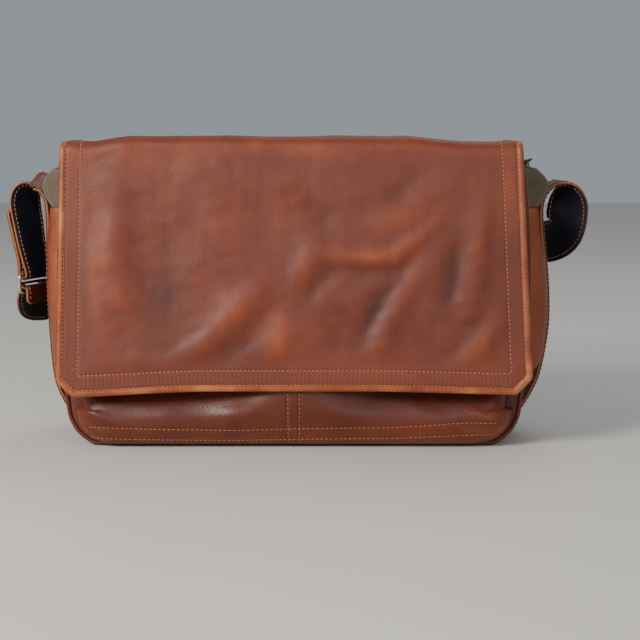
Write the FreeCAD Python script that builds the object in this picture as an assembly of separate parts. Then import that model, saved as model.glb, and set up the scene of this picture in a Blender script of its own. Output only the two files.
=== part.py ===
import FreeCAD
import Part
import math
import os

# Leather messenger camera bag, in millimetres. +X is the wearer's right, -Y is the front, +Z is up.
# The origin is the middle of the flat base, where the bag stands.

V = FreeCAD.Vector

# --- driving dimensions ---
LEATHER = 2.2          # body leather and gusset thickness
RIM_Z = 238.0          # height of the bag's mouth
BASE_HALF_DEPTH = 60.0
RIM_HALF_DEPTH = 50.0
BODY = {"flat": 160.0, "corner": 36.0, "widest": 203.0}     # half width of the base, corner radius, half width
WIDEST_Z = 140.0
GUSSET_Z = 44.0        # above this the sides are canvas, below it leather
FRONT_POCKET = {"flat": 157.0, "corner": 33.0, "widest": 192.0}
FRONT_POCKET_Z = 178.0
FRONT_POCKET_Y = -64.5
BELLY_Z = 60.0         # where the front pocket starts to round under
BELLY_R = 70.0
POCKET_LEATHER = 2.0
SEAM_HALF = 5.0        # half width of the stitched divide of the front pocket

FLAP_HALF = 200.0
FLAP_BOTTOM = (-88.0, 46.0)      # y and z of the flap's lower edge
FRONT_CREASE = (-60.0, 263.4)    # y and z of the crease over the front
FLAP_LEATHER = 2.2
FLAP_LINING = 1.0
FLAP_CHAMFER = 14.0
BINDING = 1.0          # thickness of the edge binding
BINDING_W = 7.0
CREASE_GAP = 2.2       # bare leather beside a crease
BINDING_GAP = 3.2
MAGNET_R = 7.0
MAGNET_H = 2.0
MAGNET_X = 110.0
MAGNET_Z = 92.0

INSERT = {"x": 174.0, "y": 49.0, "pad": 8.0, "top": 190.0}
BOARD_T = 3.0
DIVIDER_X = 56.0
DIVIDER_TOP = 178.0

LID_HALF = 160.0       # the two zip lids reach from -X to +X of this
LID_Z = 231.0          # mid height of the canvas of the zip lids
CANVAS = 1.8
PIPING_R = 1.5
COIL_IN = 0.5
COIL_OUT = 3.4
SLIDER_X = 176.0

SIDE_POCKET = {"z0": 56.0, "z1": 205.0, "half_depth": 42.0, "room": 8.0, "wall": 2.0}
BACK_POCKET = {"x": 172.0, "z0": 30.0, "z1": 190.0, "room": 10.0, "wall": 2.0}

STRAP_W = 38.0
STRAP_LEATHER = 2.2
STRAP_LINING = 1.2
SLIDE_R = 1.5          # wire radius of the three-bar slide
SLIDE_LENGTH = 48.0
SLIDE_CORNER = 4.0
SLIDE_DROP = 16.0      # from its upper bar down to its lower bar
SLIDE_AXIS = V(0.4, 0.917, 0).normalize()     # along its bars
SLIDE_UPPER = V(-232.3, -1, 145.5)            # middle of its upper bar
SLIDE_BEND = 3.8       # radius of a strap's middle round a bar
HINGE_RIGHT = V(217.2, 0, 206)                # where the shoulder strap starts to lift on the right


def save(name, *solids):
    """Writes one named sub-part."""
    shape = solids[0] if len(solids) == 1 else Part.makeCompound(list(solids))
    shape.exportStep(os.path.join("parts", name + ".step"))


def block(x0, x1, y0, y1, z0, z1):
    return Part.makeBox(x1 - x0, y1 - y0, z1 - z0, V(x0, y0, z0))


def along_x(points, half):
    """A prism along X from a closed outline of (y, z) points."""
    wire = Part.makePolygon([V(-half, y, z) for y, z in points + points[:1]])
    return Part.Face(wire).extrude(V(2 * half, 0, 0))


def along_y(points, half, y=0.0):
    """A prism along Y from a closed outline of (x, z) points."""
    wire = Part.makePolygon([V(x, y - half, z) for x, z in points + points[:1]])
    return Part.Face(wire).extrude(V(0, 2 * half, 0))


def side_circle(shape, offset):
    """Centre x and radius of the large arc of a side, tangent to the corner arc."""
    spread = shape["widest"] - shape["flat"]
    rise = WIDEST_Z - shape["corner"]
    radius = (rise ** 2 + spread ** 2 - shape["corner"] ** 2) / (2 * (spread - shape["corner"]))
    return shape["widest"] - radius, radius + offset


def half_width(shape, z, offset=0.0):
    """Half width of an outline on its large side arc."""
    centre, radius = side_circle(shape, offset)
    return centre + math.sqrt(radius ** 2 - (z - WIDEST_Z) ** 2)


def outline(shape, offset, top, half_depth=130.0):
    """The front view of the bag as a prism along Y: flat base, round lower corners, bowed sides."""
    flat, corner = shape["flat"], shape["corner"]
    centre, radius = side_circle(shape, 0.0)
    reach = V(flat - centre, 0, corner - WIDEST_Z).normalize()
    join = V(flat, 0, corner) + reach * (corner + offset)
    low = V(flat, 0, -offset)
    bend = math.atan2(reach.z, reach.x)
    middle_angle = (bend - math.pi / 2) / 2
    middle = V(flat, 0, corner) + V(math.cos(middle_angle), 0, math.sin(middle_angle)) * (corner + offset)
    side_z = (join.z + top) / 2
    side = V(half_width(shape, side_z, offset), 0, side_z)
    high = V(half_width(shape, top, offset), 0, top)

    def flipped(p):
        return V(-p.x, p.y, p.z)

    edges = [
        Part.makeLine(flipped(low), low),
        Part.Arc(low, middle, join).toShape(),
        Part.Arc(join, side, high).toShape(),
        Part.makeLine(high, flipped(high)),
        Part.Arc(flipped(high), flipped(side), flipped(join)).toShape(),
        Part.Arc(flipped(join), flipped(middle), flipped(low)).toShape(),
    ]
    face = Part.Face(Part.Wire(edges))
    face.translate(V(0, -half_depth, 0))
    return face.extrude(V(0, 2 * half_depth, 0))


def wall_y(z, inset=0.0):
    """Half depth of the body at a height, less an inset."""
    return BASE_HALF_DEPTH - (BASE_HALF_DEPTH - RIM_HALF_DEPTH) * z / RIM_Z - inset


def sheet_y(sign, near, far, z0, z1, half=230.0):
    """A slab parallel to the front (sign -1) or back (sign 1) wall, between two distances outside it."""
    corners = [(sign * (wall_y(z0) + near), z0), (sign * (wall_y(z0) + far), z0),
               (sign * (wall_y(z1) + far), z1), (sign * (wall_y(z1) + near), z1)]
    return along_x(corners, half)


def body_panels():
    """Front and back leather, leather base that turns up at the corners, and a canvas gusset each side."""
    whole = outline(BODY, 0, RIM_Z)
    save("front_panel", whole.common(sheet_y(-1, -LEATHER, 0, 0, RIM_Z)))
    save("back_panel", whole.common(sheet_y(1, -LEATHER, 0, 0, RIM_Z)))
    between = along_x([(-wall_y(0, LEATHER), 0), (wall_y(0, LEATHER), 0),
                       (wall_y(RIM_Z, LEATHER), RIM_Z), (-wall_y(RIM_Z, LEATHER), RIM_Z)], 230)
    band = whole.cut(outline(BODY, -LEATHER, RIM_Z + 5)).common(between)
    save("base_panel", band.common(block(-230, 230, -100, 100, -1, GUSSET_Z)))
    save("gusset_left", band.common(block(-230, 0, -100, 100, GUSSET_Z, RIM_Z + 1)))
    save("gusset_right", band.common(block(0, 230, -100, 100, GUSSET_Z, RIM_Z + 1)))
    save("base_board", block(-BODY["flat"] + 3, BODY["flat"] - 3, -54, 54, LEATHER, LEATHER + BOARD_T))


def insert():
    """The padded camera insert: floor, four walls, and two dividers that slide along X."""
    x, y, pad, top = INSERT["x"], INSERT["y"], INSERT["pad"], INSERT["top"]
    floor = LEATHER + BOARD_T + 0.2
    inside = floor + pad
    save("insert_floor", block(-x, x, -y, y, floor, inside))
    save("insert_front_wall", block(-x, x, -y, pad - y, inside, top))
    save("insert_back_wall", block(-x, x, y - pad, y, inside, top))
    save("insert_left_wall", block(-x, pad - x, pad - y, y - pad, inside, top))
    save("insert_right_wall", block(x - pad, x, pad - y, y - pad, inside, top))
    for name, middle in (("divider_left", -DIVIDER_X), ("divider_right", DIVIDER_X)):
        save(name, block(middle - pad / 2, middle + pad / 2, pad - y + 0.4, y - pad - 0.4,
                         inside + 0.4, DIVIDER_TOP))


def flap_slope():
    """How far the flap's front leans out for each millimetre down."""
    return (FRONT_CREASE[0] - FLAP_BOTTOM[0]) / (FRONT_CREASE[1] - FLAP_BOTTOM[1])


def pocket_profile(inset):
    """The side view of the front pocket, parallel to the flap and rounded under, as a prism along X."""
    slope = flap_slope()
    lean = math.hypot(1, slope)
    inward = V(0, 1 / lean, -slope / lean)
    belly = V(0, FRONT_POCKET_Y - slope * (FRONT_POCKET_Z - BELLY_Z), BELLY_Z)
    centre = belly + inward * BELLY_R
    radius = BELLY_R - inset
    over = 8.0 if inset else 0.0
    top = V(0, FRONT_POCKET_Y + slope * over, FRONT_POCKET_Z + over) + inward * inset
    start = belly + inward * inset
    foot_z = inset
    foot = V(0, centre.y - math.sqrt(radius ** 2 - (centre.z - foot_z) ** 2), foot_z)
    half_way = (start.z + foot.z) / 2
    bulge = V(0, centre.y - math.sqrt(radius ** 2 - (centre.z - half_way) ** 2), half_way)
    back = 40.0
    edges = [
        Part.makeLine(top, start),
        Part.Arc(start, bulge, foot).toShape(),
        Part.makeLine(foot, V(0, -back, foot.z)),
        Part.makeLine(V(0, -back, foot.z), V(0, -back, top.z)),
        Part.makeLine(V(0, -back, top.z), top),
    ]
    face = Part.Face(Part.Wire(edges))
    face.translate(V(-230, 0, 0))
    return face.extrude(V(460, 0, 0))


def front_pocket():
    """A double patch pocket under the flap, divided by a stitched seam, with a turned hem at its mouth."""
    outside = sheet_y(-1, 0, 60, -5, FRONT_POCKET_Z + 20)
    skin = outline(FRONT_POCKET, 0, FRONT_POCKET_Z).common(pocket_profile(0)).common(outside)
    cavity = outline(FRONT_POCKET, -POCKET_LEATHER, FRONT_POCKET_Z + 6).common(
        pocket_profile(POCKET_LEATHER)).common(outside)
    pocket = skin.cut(cavity.cut(block(-SEAM_HALF, SEAM_HALF, -120, 0, -5, FRONT_POCKET_Z + 10)))
    hem_h = 12.0
    hem = block(-186, 186, -1.4, 0, FRONT_POCKET_Z - hem_h, FRONT_POCKET_Z)
    lean = math.degrees(math.atan(flap_slope()))
    hem.rotate(V(0, 0, FRONT_POCKET_Z), V(1, 0, 0), lean * -1)
    hem.translate(V(0, FRONT_POCKET_Y, 0))
    save("front_pocket", pocket)
    save("front_pocket_hem", hem.cut(pocket))


def tray(sign):
    """A side pocket: a leather wall bowed out from the gusset, closed below and at both edges."""
    room, wall, half = SIDE_POCKET["room"], SIDE_POCKET["wall"], SIDE_POCKET["half_depth"]
    z0, z1 = SIDE_POCKET["z0"], SIDE_POCKET["z1"]
    side = block(0, 260, -half, half, z0, z1) if sign > 0 else block(-260, 0, -half, half, z0, z1)
    ring = outline(BODY, room + wall, RIM_Z).cut(outline(BODY, 0, RIM_Z)).common(side)
    inner = (0, 260) if sign > 0 else (-260, 0)
    hollow = outline(BODY, room, RIM_Z).cut(outline(BODY, 0, RIM_Z)).common(
        block(*inner, wall - half, half - wall, z0 + wall, z1 + 5))
    return ring.cut(hollow)


def side_pockets():
    room, wall, half = SIDE_POCKET["room"], SIDE_POCKET["wall"], SIDE_POCKET["half_depth"]
    z1 = SIDE_POCKET["z1"]
    for name, sign in (("left", -1), ("right", 1)):
        save("side_pocket_" + name, tray(sign))
        side = (0, 260) if sign > 0 else (-260, 0)
        hem = outline(BODY, room + wall + 1.2, RIM_Z).cut(outline(BODY, room + wall, RIM_Z)).common(
            block(*side, -half, half, z1 - 12, z1))
        save("side_pocket_hem_" + name, hem)


def back_pocket():
    """A flat slip pocket on the back."""
    x, z0, z1 = BACK_POCKET["x"], BACK_POCKET["z0"], BACK_POCKET["z1"]
    room, wall = BACK_POCKET["room"], BACK_POCKET["wall"]
    skin = sheet_y(1, 0, room + wall, z0, z1, x)
    hollow = sheet_y(1, 0, room, z0 + wall, z1 + 5, x - wall)
    save("back_pocket", skin.cut(hollow))
    save("back_pocket_hem", sheet_y(1, room + wall, room + wall + 1.2, z1 - 14, z1, x))


def flap_outline(inset, start, half_t, shift=0.0):
    """The flap's front as a flat plate hanging from the crease: inset from its edges, from start down."""
    length = math.hypot(FRONT_CREASE[0] - FLAP_BOTTOM[0], FRONT_CREASE[1] - FLAP_BOTTOM[1]) - inset
    half = FLAP_HALF - inset
    cut = FLAP_CHAMFER - inset * (2 - math.sqrt(2))
    points = [(-half, -start), (-half, cut - length), (cut - half, -length),
              (half - cut, -length), (half, cut - length), (half, -start)]
    return along_y(points, half_t, shift)


def hang(shape):
    """Moves a shape from the plane below the crease, at y 0, to the flap's leaning front."""
    shape.rotate(V(0, 0, 0), V(1, 0, 0), -math.degrees(math.atan(flap_slope())))
    shape.translate(V(0, FRONT_CREASE[0], FRONT_CREASE[1]))
    return shape


def flap():
    """The flap: an anchor strip sewn to the back, a top and a front that turn about two leather creases."""
    thick = FLAP_LEATHER + FLAP_LINING
    half_t = thick / 2
    back_y = wall_y(FRONT_CREASE[1]) + half_t
    crease_z = FRONT_CREASE[1]
    lead = along_x([(wall_y(200), 200), (wall_y(200) + thick, 200),
                    (back_y + half_t, crease_z), (back_y - half_t, crease_z)], FLAP_HALF - 2)
    bead = Part.makeCylinder(half_t, 2 * (FLAP_HALF - 2), V(2 - FLAP_HALF, back_y, crease_z), V(1, 0, 0))
    save("flap_anchor_strip", lead.fuse(bead).removeSplitter())

    y0, y1 = FRONT_CREASE[0], back_y - CREASE_GAP
    x = FLAP_HALF - BINDING
    top = block(-x, x, y0, y1, crease_z + half_t - FLAP_LEATHER, crease_z + half_t)
    crease = Part.makeCylinder(half_t, 2 * x, V(-x, y0, crease_z), V(1, 0, 0))
    save("flap_top", top.fuse(crease).removeSplitter())
    save("flap_top_lining", block(-x, x, y0 + CREASE_GAP, y1, crease_z - half_t, crease_z + half_t - FLAP_LEATHER))
    edges = []
    for sign in (-1, 1):
        a, b = sorted((sign * FLAP_HALF, sign * (FLAP_HALF - BINDING_W)))
        rim = block(a, b, y0 + BINDING_GAP, back_y - BINDING_GAP,
                    crease_z - half_t - BINDING, crease_z + half_t + BINDING)
        edges.append(rim.cut(block(-x, x, y0 - 5, back_y, crease_z - half_t, crease_z + half_t)))
    save("flap_top_binding", *edges)

    save("flap_front", hang(flap_outline(BINDING, CREASE_GAP, FLAP_LEATHER / 2, FLAP_LEATHER / 2 - half_t)))
    save("flap_front_lining", hang(flap_outline(BINDING, CREASE_GAP, FLAP_LINING / 2, half_t - FLAP_LINING / 2)))
    rim = flap_outline(0, BINDING_GAP, half_t + BINDING)
    rim = rim.cut(flap_outline(BINDING, 0, half_t)).cut(flap_outline(BINDING_W, 0, half_t + 2 * BINDING))
    save("flap_front_binding", hang(rim))


def magnets():
    """Two pairs of magnetic snaps: studs inside the flap, sockets on the front pocket."""
    slope = flap_slope()
    normal = V(0, -1, slope).normalize()
    lean = math.hypot(1, slope)
    flap_y = FRONT_CREASE[0] - slope * (FRONT_CREASE[1] - MAGNET_Z) + (FLAP_LEATHER + FLAP_LINING) / 2 * lean
    pocket_y = FRONT_POCKET_Y - slope * (FRONT_POCKET_Z - MAGNET_Z)
    for name, x in (("left", -MAGNET_X), ("right", MAGNET_X)):
        save("magnet_stud_" + name, Part.makeCylinder(MAGNET_R, MAGNET_H, V(x, flap_y, MAGNET_Z), normal * -1))
        save("magnet_socket_" + name, Part.makeCylinder(MAGNET_R, MAGNET_H, V(x, pocket_y, MAGNET_Z), normal))


def zip_closure():
    """A zip across the mouth: two canvas lids that drop inwards, fixed ends, slider, pull and tail tab."""
    top = LID_Z + CANVAS / 2
    low = LID_Z - CANVAS / 2
    tape_low = low - 0.8
    axis_y = wall_y(LID_Z, LEATHER) - PIPING_R
    far = axis_y - CREASE_GAP
    for name, sign in (("front", -1), ("back", 1)):

        def strip(x0, x1, near_y, far_y, z0, z1):
            a, b = sorted((sign * near_y, sign * far_y))
            return block(x0, x1, a, b, z0, z1)

        piping = Part.makeCylinder(PIPING_R, 2 * LID_HALF + 60, V(-LID_HALF - 30, sign * axis_y, LID_Z), V(1, 0, 0))
        save("mouth_piping_" + name, piping)
        save("zip_lid_" + name, strip(-LID_HALF, LID_HALF, 12, far, low, top))
        save("zip_tape_" + name, strip(-LID_HALF, LID_HALF, COIL_IN, 19, tape_low, low))
        save("zip_teeth_" + name, strip(-LID_HALF, LID_HALF, COIL_IN, COIL_OUT, low, low + 2))
    panels, tapes, teeth = [], [], []
    for x0, x1 in ((-193.0, -LID_HALF - 1), (LID_HALF + 1, 193.0)):
        near, away = (x0, x1) if x0 > 0 else (-x1, -x0)
        for sign in (-1, 1):
            a, b = sorted((sign * 12.0, sign * far))
            panels.append(block(x0, x1, a, b, low, top))
            a, b = sorted((sign * COIL_IN, sign * 19.0))
            short = (near, 185.0) if x0 > 0 else (-185.0, -near)
            tapes.append(block(*short, a, b, tape_low, low))
            a, b = sorted((sign * COIL_IN, sign * COIL_OUT))
            teeth.append(block(*short, a, b, low, low + 2))
    save("zip_end_panels", *panels)
    save("zip_end_tapes", *tapes)
    save("zip_end_teeth", *teeth)
    tail = along_y([(186, low), (192.4, low), (194, RIM_Z + 0.6), (211.5, RIM_Z + 7),
                    (211, RIM_Z + 8.6), (192.6, RIM_Z + 2), (191, top), (186, top)], 7)
    save("zip_tail_tab", tail)

    x = SLIDER_X
    plate_z = low + 2.4
    upper = block(x - 5, x + 5, -5, 5, plate_z, plate_z + 1.2)
    for sign in (-1, 1):
        a, b = sorted((sign * 4.0, sign * 5.0))
        upper = upper.fuse(block(x - 5, x + 5, a, b, low + 0.4, plate_z))
    lower = block(x - 5, x + 5, -5, 5, tape_low - 1.6, tape_low - 0.4)
    post = block(x + 2, x + 5, -0.35, 0.35, tape_low - 1, plate_z + 0.5)
    pin_z = plate_z + 3
    crown = block(x - 3, x + 3, -1.3, 1.3, plate_z + 1, pin_z + 2)
    hole = Part.makeCylinder(1.05, 4, V(x, -2, pin_z), V(0, 1, 0))
    save("zip_slider", upper.fuse([lower, post, crown]).cut(hole).removeSplitter())

    pull = Part.makeCylinder(1.0, 6.4, V(x, -3.2, pin_z), V(0, 1, 0))
    for sign in (-1, 1):
        a, b = sorted((sign * 1.7, sign * 3.2))
        pull = pull.fuse(block(x - 7, x, a, b, pin_z - 0.7, pin_z + 0.7))
    pull = pull.fuse(block(x - 12, x - 5, -3.2, 3.2, pin_z - 0.7, pin_z + 0.7))
    save("zip_pull", pull.removeSplitter())
    tab = block(x - 21, x - 9, -4, 4, pin_z - 1.4, pin_z + 1.4)
    save("zip_pull_tab", tab.cut(block(x - 12, x, -3.2, 3.2, pin_z - 0.7, pin_z + 0.7)))


def smoothed(points, steps=2):
    """Extra points along a smooth curve through the given ones."""
    full = [points[0] * 2 - points[1]] + points + [points[-1] * 2 - points[-2]]
    out = []
    for i in range(1, len(full) - 2):
        p0, p1, p2, p3 = full[i - 1:i + 3]
        for k in range(steps):
            t = k / steps
            out.append((p1 * 2 + (p2 - p0) * t + (p0 * 2 - p1 * 5 + p2 * 4 - p3) * t ** 2
                        + (p1 * 3 - p0 - p2 * 3 + p3) * t ** 3) * 0.5)
    return out + [points[-1]]


def ribbon(points, widths, low, high):
    """A strap as a ruled solid: points down its middle, a direction across it at each, between two depths."""
    points, widths = smoothed(points), smoothed(widths)
    sections = []
    for i, p in enumerate(points):
        ahead = points[min(i + 1, len(points) - 1)] - points[max(i - 1, 0)]
        ahead.normalize()
        across = widths[i] - ahead * widths[i].dot(ahead)
        across.normalize()
        out = ahead.cross(across)
        half = across * (STRAP_W / 2)
        sections.append([p - half + out * low, p + half + out * low, p + half + out * high, p - half + out * high])
    faces = [Part.Face(Part.makePolygon(ends + ends[:1])) for ends in (sections[0], sections[-1])]
    for here, there in zip(sections, sections[1:]):
        for k in range(4):
            n = (k + 1) % 4
            patch = Part.BSplineSurface()
            patch.buildFromPolesMultsKnots([[here[k], here[n]], [there[k], there[n]]],
                                           (2, 2), (2, 2), (0, 1), (0, 1), False, False, 1, 1)
            faces.append(patch.toShape())
    shell = Part.makeShell(faces)
    shell.sewShape()
    solid = Part.makeSolid(shell)
    if solid.Volume < 0:
        solid.reverse()
    return solid


def strap_pair(name, path, leather_first, *cuts):
    """Saves one strap as its leather and its lining, glued face to face."""
    total = STRAP_LEATHER + STRAP_LINING
    points = [p for p, _ in path]
    widths = [w for _, w in path]
    split = STRAP_LEATHER - total / 2 if leather_first else STRAP_LINING - total / 2
    layers = [(-total / 2, split), (split, total / 2)]
    if not leather_first:
        layers.reverse()
    for label, (low, high) in zip((name, name + "_lining"), layers):
        solid = ribbon(points, widths, low, high)
        for tool in cuts:
            solid = solid.cut(tool)
        save(label, solid)


def straps():
    """Side bands up both gussets, a three-bar slide on the left, and the shoulder strap round the back."""
    y_dir = V(0, 1, 0)
    inner = V(SLIDE_AXIS.y, -SLIDE_AXIS.x, 0)
    upper = SLIDE_UPPER
    lower = SLIDE_UPPER - V(0, 0, SLIDE_DROP)
    rise = [(187.4, 8.8), (199, 24), (209, 43), (213.2, 62), (216, 100), (217.1, 145)]

    left = [(V(-x, 0, z), y_dir) for x, z in rise + [(217, 188), (217.6, 205)]]
    left += [
        (V(-218.8, 0, 214), V(0.05, 1, 0.08)), (V(-222, 0, 222), V(0.15, 0.95, 0.2)),
        (V(-227, 0, 226.3), V(0.27, 0.91, 0.31)), (V(-232.8, 0, 225.3), V(0.4, 0.87, 0.28)),
        (V(-237.2, 0, 219.8), V(0.5, 0.84, 0.2)), (V(-239.3, 0, 212), V(0.54, 0.84, 0.1)),
        (V(-239.2, -0.3, 203), V(0.54, 0.84, 0)), (V(-237, -0.8, 189), V(0.52, 0.85, 0)),
        (V(-234.4, -1.4, 172), V(0.47, 0.88, 0)), (V(-231.4, -2, 157), V(0.42, 0.9, 0)),
    ]
    for angle in (0, 45, 90, 135, 180):
        turn = math.radians(angle)
        spot = upper + inner * (SLIDE_BEND * math.cos(turn)) - V(0, 0, SLIDE_BEND * math.sin(turn))
        left.append((spot, SLIDE_AXIS))
    left += [
        (V(-236.3, 0.8, 156), SLIDE_AXIS), (V(-238.6, 1, 168), SLIDE_AXIS),
        (V(-242.4, 1.2, 186), SLIDE_AXIS), (V(-246.2, 1.5, 203), SLIDE_AXIS),
    ]
    strap_pair("side_band_left", left, True)
    fuller = [(187.4, 8.8), (199, 24), (210.5, 43), (217.5, 62), (223.5, 100), (223, 138), (219.4, 172)]
    right = [(V(x, 0, z), y_dir) for x, z in fuller + [(217.1, HINGE_RIGHT.z - STRAP_W / 2 - 0.5)]]
    strap_pair("side_band_right", right, False)

    shoulder = [(V(HINGE_RIGHT.x, 0, HINGE_RIGHT.z - STRAP_W / 2 - 1), y_dir)]
    shoulder += [(V(x, 0, z), y_dir) for x, z in ((217.4, 206), (220.5, 215.5), (226.5, 222.5))]
    shoulder += [
        (V(234, 0, 225.6), V(-0.05, 1, 0)), (V(240, 0.5, 223.3), V(-0.3, 0.95, 0.02)),
        (V(243, 1.5, 216.5), V(-0.6, 0.8, 0.05)), (V(243.8, 3, 207.5), V(-0.82, 0.57, 0.08)),
        (V(243.2, 5, 198.5), V(-0.9, 0.42, 0.2)), (V(243, 8.5, 190), V(-0.83, 0.35, 0.45)),
        (V(242.6, 14, 182.5), V(-0.6, 0.25, 0.76)), (V(240, 23, 176), V(-0.28, 0.2, 0.94)),
        (V(233.5, 35, 171), V(-0.05, 0.1, 0.99)), (V(223, 51, 168), V(0, 0.05, 1)),
        (V(206, 70, 163.5), V(0, 0, 1)),
        (V(180, 89, 152), V(0, 0, 1)), (V(146, 103, 128), V(0, 0, 1)), (V(112, 120, 94), V(0, 0, 1)),
        (V(82, 136, 57), V(0, 0, 1)), (V(54, 147, 32), V(0, 0, 1)), (V(26, 150, 21.5), V(0, 0, 1)),
        (V(-12, 151, 19.2), V(0, 0, 1)),
        (V(-48, 149, 20.5), V(0, 0, 1)), (V(-78, 143, 28), V(0, 0, 1)), (V(-108, 132, 44), V(0, 0, 1)),
        (V(-138, 118, 67), V(0, 0, 1)), (V(-167, 101, 88), V(0, 0, 1)), (V(-193, 81, 105), V(0, 0, 1)),
        (V(-210, 63, 115), V(0, 0, 1)), (V(-218.5, 48.5, 117.3), V(0.06, 0.12, 0.99)),
        (V(-224.5, 37, 118), V(0.16, 0.3, 0.94)),
    ]
    pivot = Part.makeCylinder(STRAP_W / 2, 40, HINGE_RIGHT - V(20, 0, 0), V(1, 0, 0))
    below = block(HINGE_RIGHT.x - 20, HINGE_RIGHT.x + 20, -30, 30, HINGE_RIGHT.z - 40, HINGE_RIGHT.z)
    strap_pair("shoulder_strap", shoulder, False, below.cut(pivot))

    end = [
        (V(-227.3, 31.5, 118), V(0.22, 0.36, 0.9)), (V(-229.7, 26, 118), V(0.3, 0.45, 0.84)),
        (V(-235, 14, 119.5), V(0.4, 0.75, 0.53)), (V(-236.7, 6, 123), V(0.42, 0.87, 0.25)),
    ]
    for angle in (180, 225, 270, 315, 360):
        turn = math.radians(angle)
        spot = lower + inner * (SLIDE_BEND * math.cos(turn)) - V(0, 0, SLIDE_BEND * math.sin(turn))
        end.append((spot, SLIDE_AXIS))
    end.append((lower + inner * SLIDE_BEND - V(0, 0, 11), SLIDE_AXIS))
    strap_pair("strap_end", end, False)


def three_bar_slide():
    """The slide that joins the left side band to the shoulder strap: a round-wire frame with a middle bar."""
    x, z = SLIDE_LENGTH / 2 - SLIDE_CORNER, SLIDE_DROP / 2 - SLIDE_CORNER
    diagonal = SLIDE_CORNER * math.sqrt(0.5)
    edges = []
    for sx, sz in ((1, 1), (1, -1), (-1, -1), (-1, 1)):
        ends = [V(sx * x, 0, sz * (z + SLIDE_CORNER)), V(sx * (x + SLIDE_CORNER), 0, sz * z)]
        middle = V(sx * (x + diagonal), 0, sz * (z + diagonal))
        if sx != sz:
            ends.reverse()
        edges.append(Part.Arc(ends[0], middle, ends[1]).toShape())
    lines = [Part.makeLine(edges[i - 1].Vertexes[-1].Point, edges[i].Vertexes[0].Point) for i in range(4)]
    path = Part.Wire([e for pair in zip(lines, edges) for e in pair])
    start = path.Edges[0].Vertexes[0].Point
    profile = Part.Wire(Part.makeCircle(SLIDE_R, start, path.Edges[0].tangentAt(0)))
    frame = path.makePipeShell([profile], True, False)
    bar = Part.makeCylinder(SLIDE_R - 0.3, SLIDE_LENGTH, V(-SLIDE_LENGTH / 2, 0, 0), V(1, 0, 0))
    slide = frame.fuse(bar).removeSplitter()
    slide.rotate(V(0, 0, 0), V(0, 0, 1), math.degrees(math.atan2(SLIDE_AXIS.y, SLIDE_AXIS.x)))
    slide.translate(SLIDE_UPPER - V(0, 0, SLIDE_DROP / 2))
    save("strap_slide", slide)


os.makedirs("parts", exist_ok=True)
body_panels()
insert()
front_pocket()
side_pockets()
back_pocket()
flap()
magnets()
zip_closure()
straps()
three_bar_slide()
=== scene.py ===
import bpy
import bmesh
import math
import numpy as np
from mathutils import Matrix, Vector


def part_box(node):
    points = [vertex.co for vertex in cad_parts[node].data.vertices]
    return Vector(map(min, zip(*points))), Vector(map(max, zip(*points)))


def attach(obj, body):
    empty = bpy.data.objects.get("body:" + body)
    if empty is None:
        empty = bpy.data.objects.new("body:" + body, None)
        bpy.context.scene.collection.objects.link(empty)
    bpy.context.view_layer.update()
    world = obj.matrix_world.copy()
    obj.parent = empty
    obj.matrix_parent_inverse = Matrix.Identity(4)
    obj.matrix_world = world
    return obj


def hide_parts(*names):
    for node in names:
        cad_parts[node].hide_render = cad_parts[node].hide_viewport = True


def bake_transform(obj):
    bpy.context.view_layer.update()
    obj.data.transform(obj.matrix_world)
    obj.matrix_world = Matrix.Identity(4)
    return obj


# Looks of the leather camera bag. Shapes are worked out in millimetres and scaled when a mesh is made.

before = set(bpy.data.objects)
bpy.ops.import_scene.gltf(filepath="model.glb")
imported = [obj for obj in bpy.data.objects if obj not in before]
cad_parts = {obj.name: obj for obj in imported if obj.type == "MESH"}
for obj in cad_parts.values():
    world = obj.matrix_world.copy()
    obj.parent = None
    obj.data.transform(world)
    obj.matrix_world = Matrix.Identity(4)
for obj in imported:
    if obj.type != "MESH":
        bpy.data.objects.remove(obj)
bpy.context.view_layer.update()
MM = 0.001
PI = math.pi


# --- small maths ---

def unit(v):
    return v / np.maximum(np.linalg.norm(v, axis=-1, keepdims=True), 1e-9)


def ramp(x, low, high):
    """0 at low, 1 at high, smooth between."""
    t = np.clip((np.asarray(x, float) - low) / (high - low), 0, 1)
    return t * t * (3 - 2 * t)


def bell(x, sigma):
    return np.exp(-(np.asarray(x, float) / sigma) ** 2)


def noise(a, b, waves, shortest, longest, seed):
    """Smooth repeatable noise of about unit size from a few plane waves."""
    rng = np.random.RandomState(seed)
    total = np.zeros(np.broadcast(a, b).shape)
    for _ in range(waves):
        length = shortest * (longest / shortest) ** rng.rand()
        turn = rng.rand() * PI * 2
        phase = rng.rand() * PI * 2
        wave = np.sin((a * math.cos(turn) + b * math.sin(turn)) * PI * 2 / length + phase)
        total += wave * (length / longest) ** 0.7
    return total / math.sqrt(waves)


def ridges(a, b, creases, spread=1.0):
    """Soft folds: each is a run of points, a half width and a height, fading at its ends."""
    total = np.zeros(np.broadcast(a, b).shape)
    for points, sigma, height in creases:
        runs = [math.dist(p, q) for p, q in zip(points, points[1:])]
        whole = sum(runs)
        best = np.full(total.shape, 1e9)
        place = np.zeros(total.shape)
        done = 0.0
        for (pa, pb), (qa, qb), run in zip(points, points[1:], runs):
            t = np.clip(((a - pa) * (qa - pa) + (b - pb) * (qb - pb)) / run ** 2, 0, 1)
            d = np.hypot(a - pa - t * (qa - pa), b - pb - t * (qb - pb))
            closer = d < best
            best = np.where(closer, d, best)
            place = np.where(closer, (done + t * run) / whole, place)
            done += run
        total += height * bell(best, sigma * spread) * (0.25 + 0.75 * np.sin(PI * place) ** 0.7)
    return total


def blobs(a, b, spots):
    """Soft patches: centre, two half sizes and a strength."""
    total = np.zeros(np.broadcast(a, b).shape)
    for pa, pb, ra, rb, strength in spots:
        total += strength * np.exp(-((a - pa) / ra) ** 2 - ((b - pb) / rb) ** 2)
    return total


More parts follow.
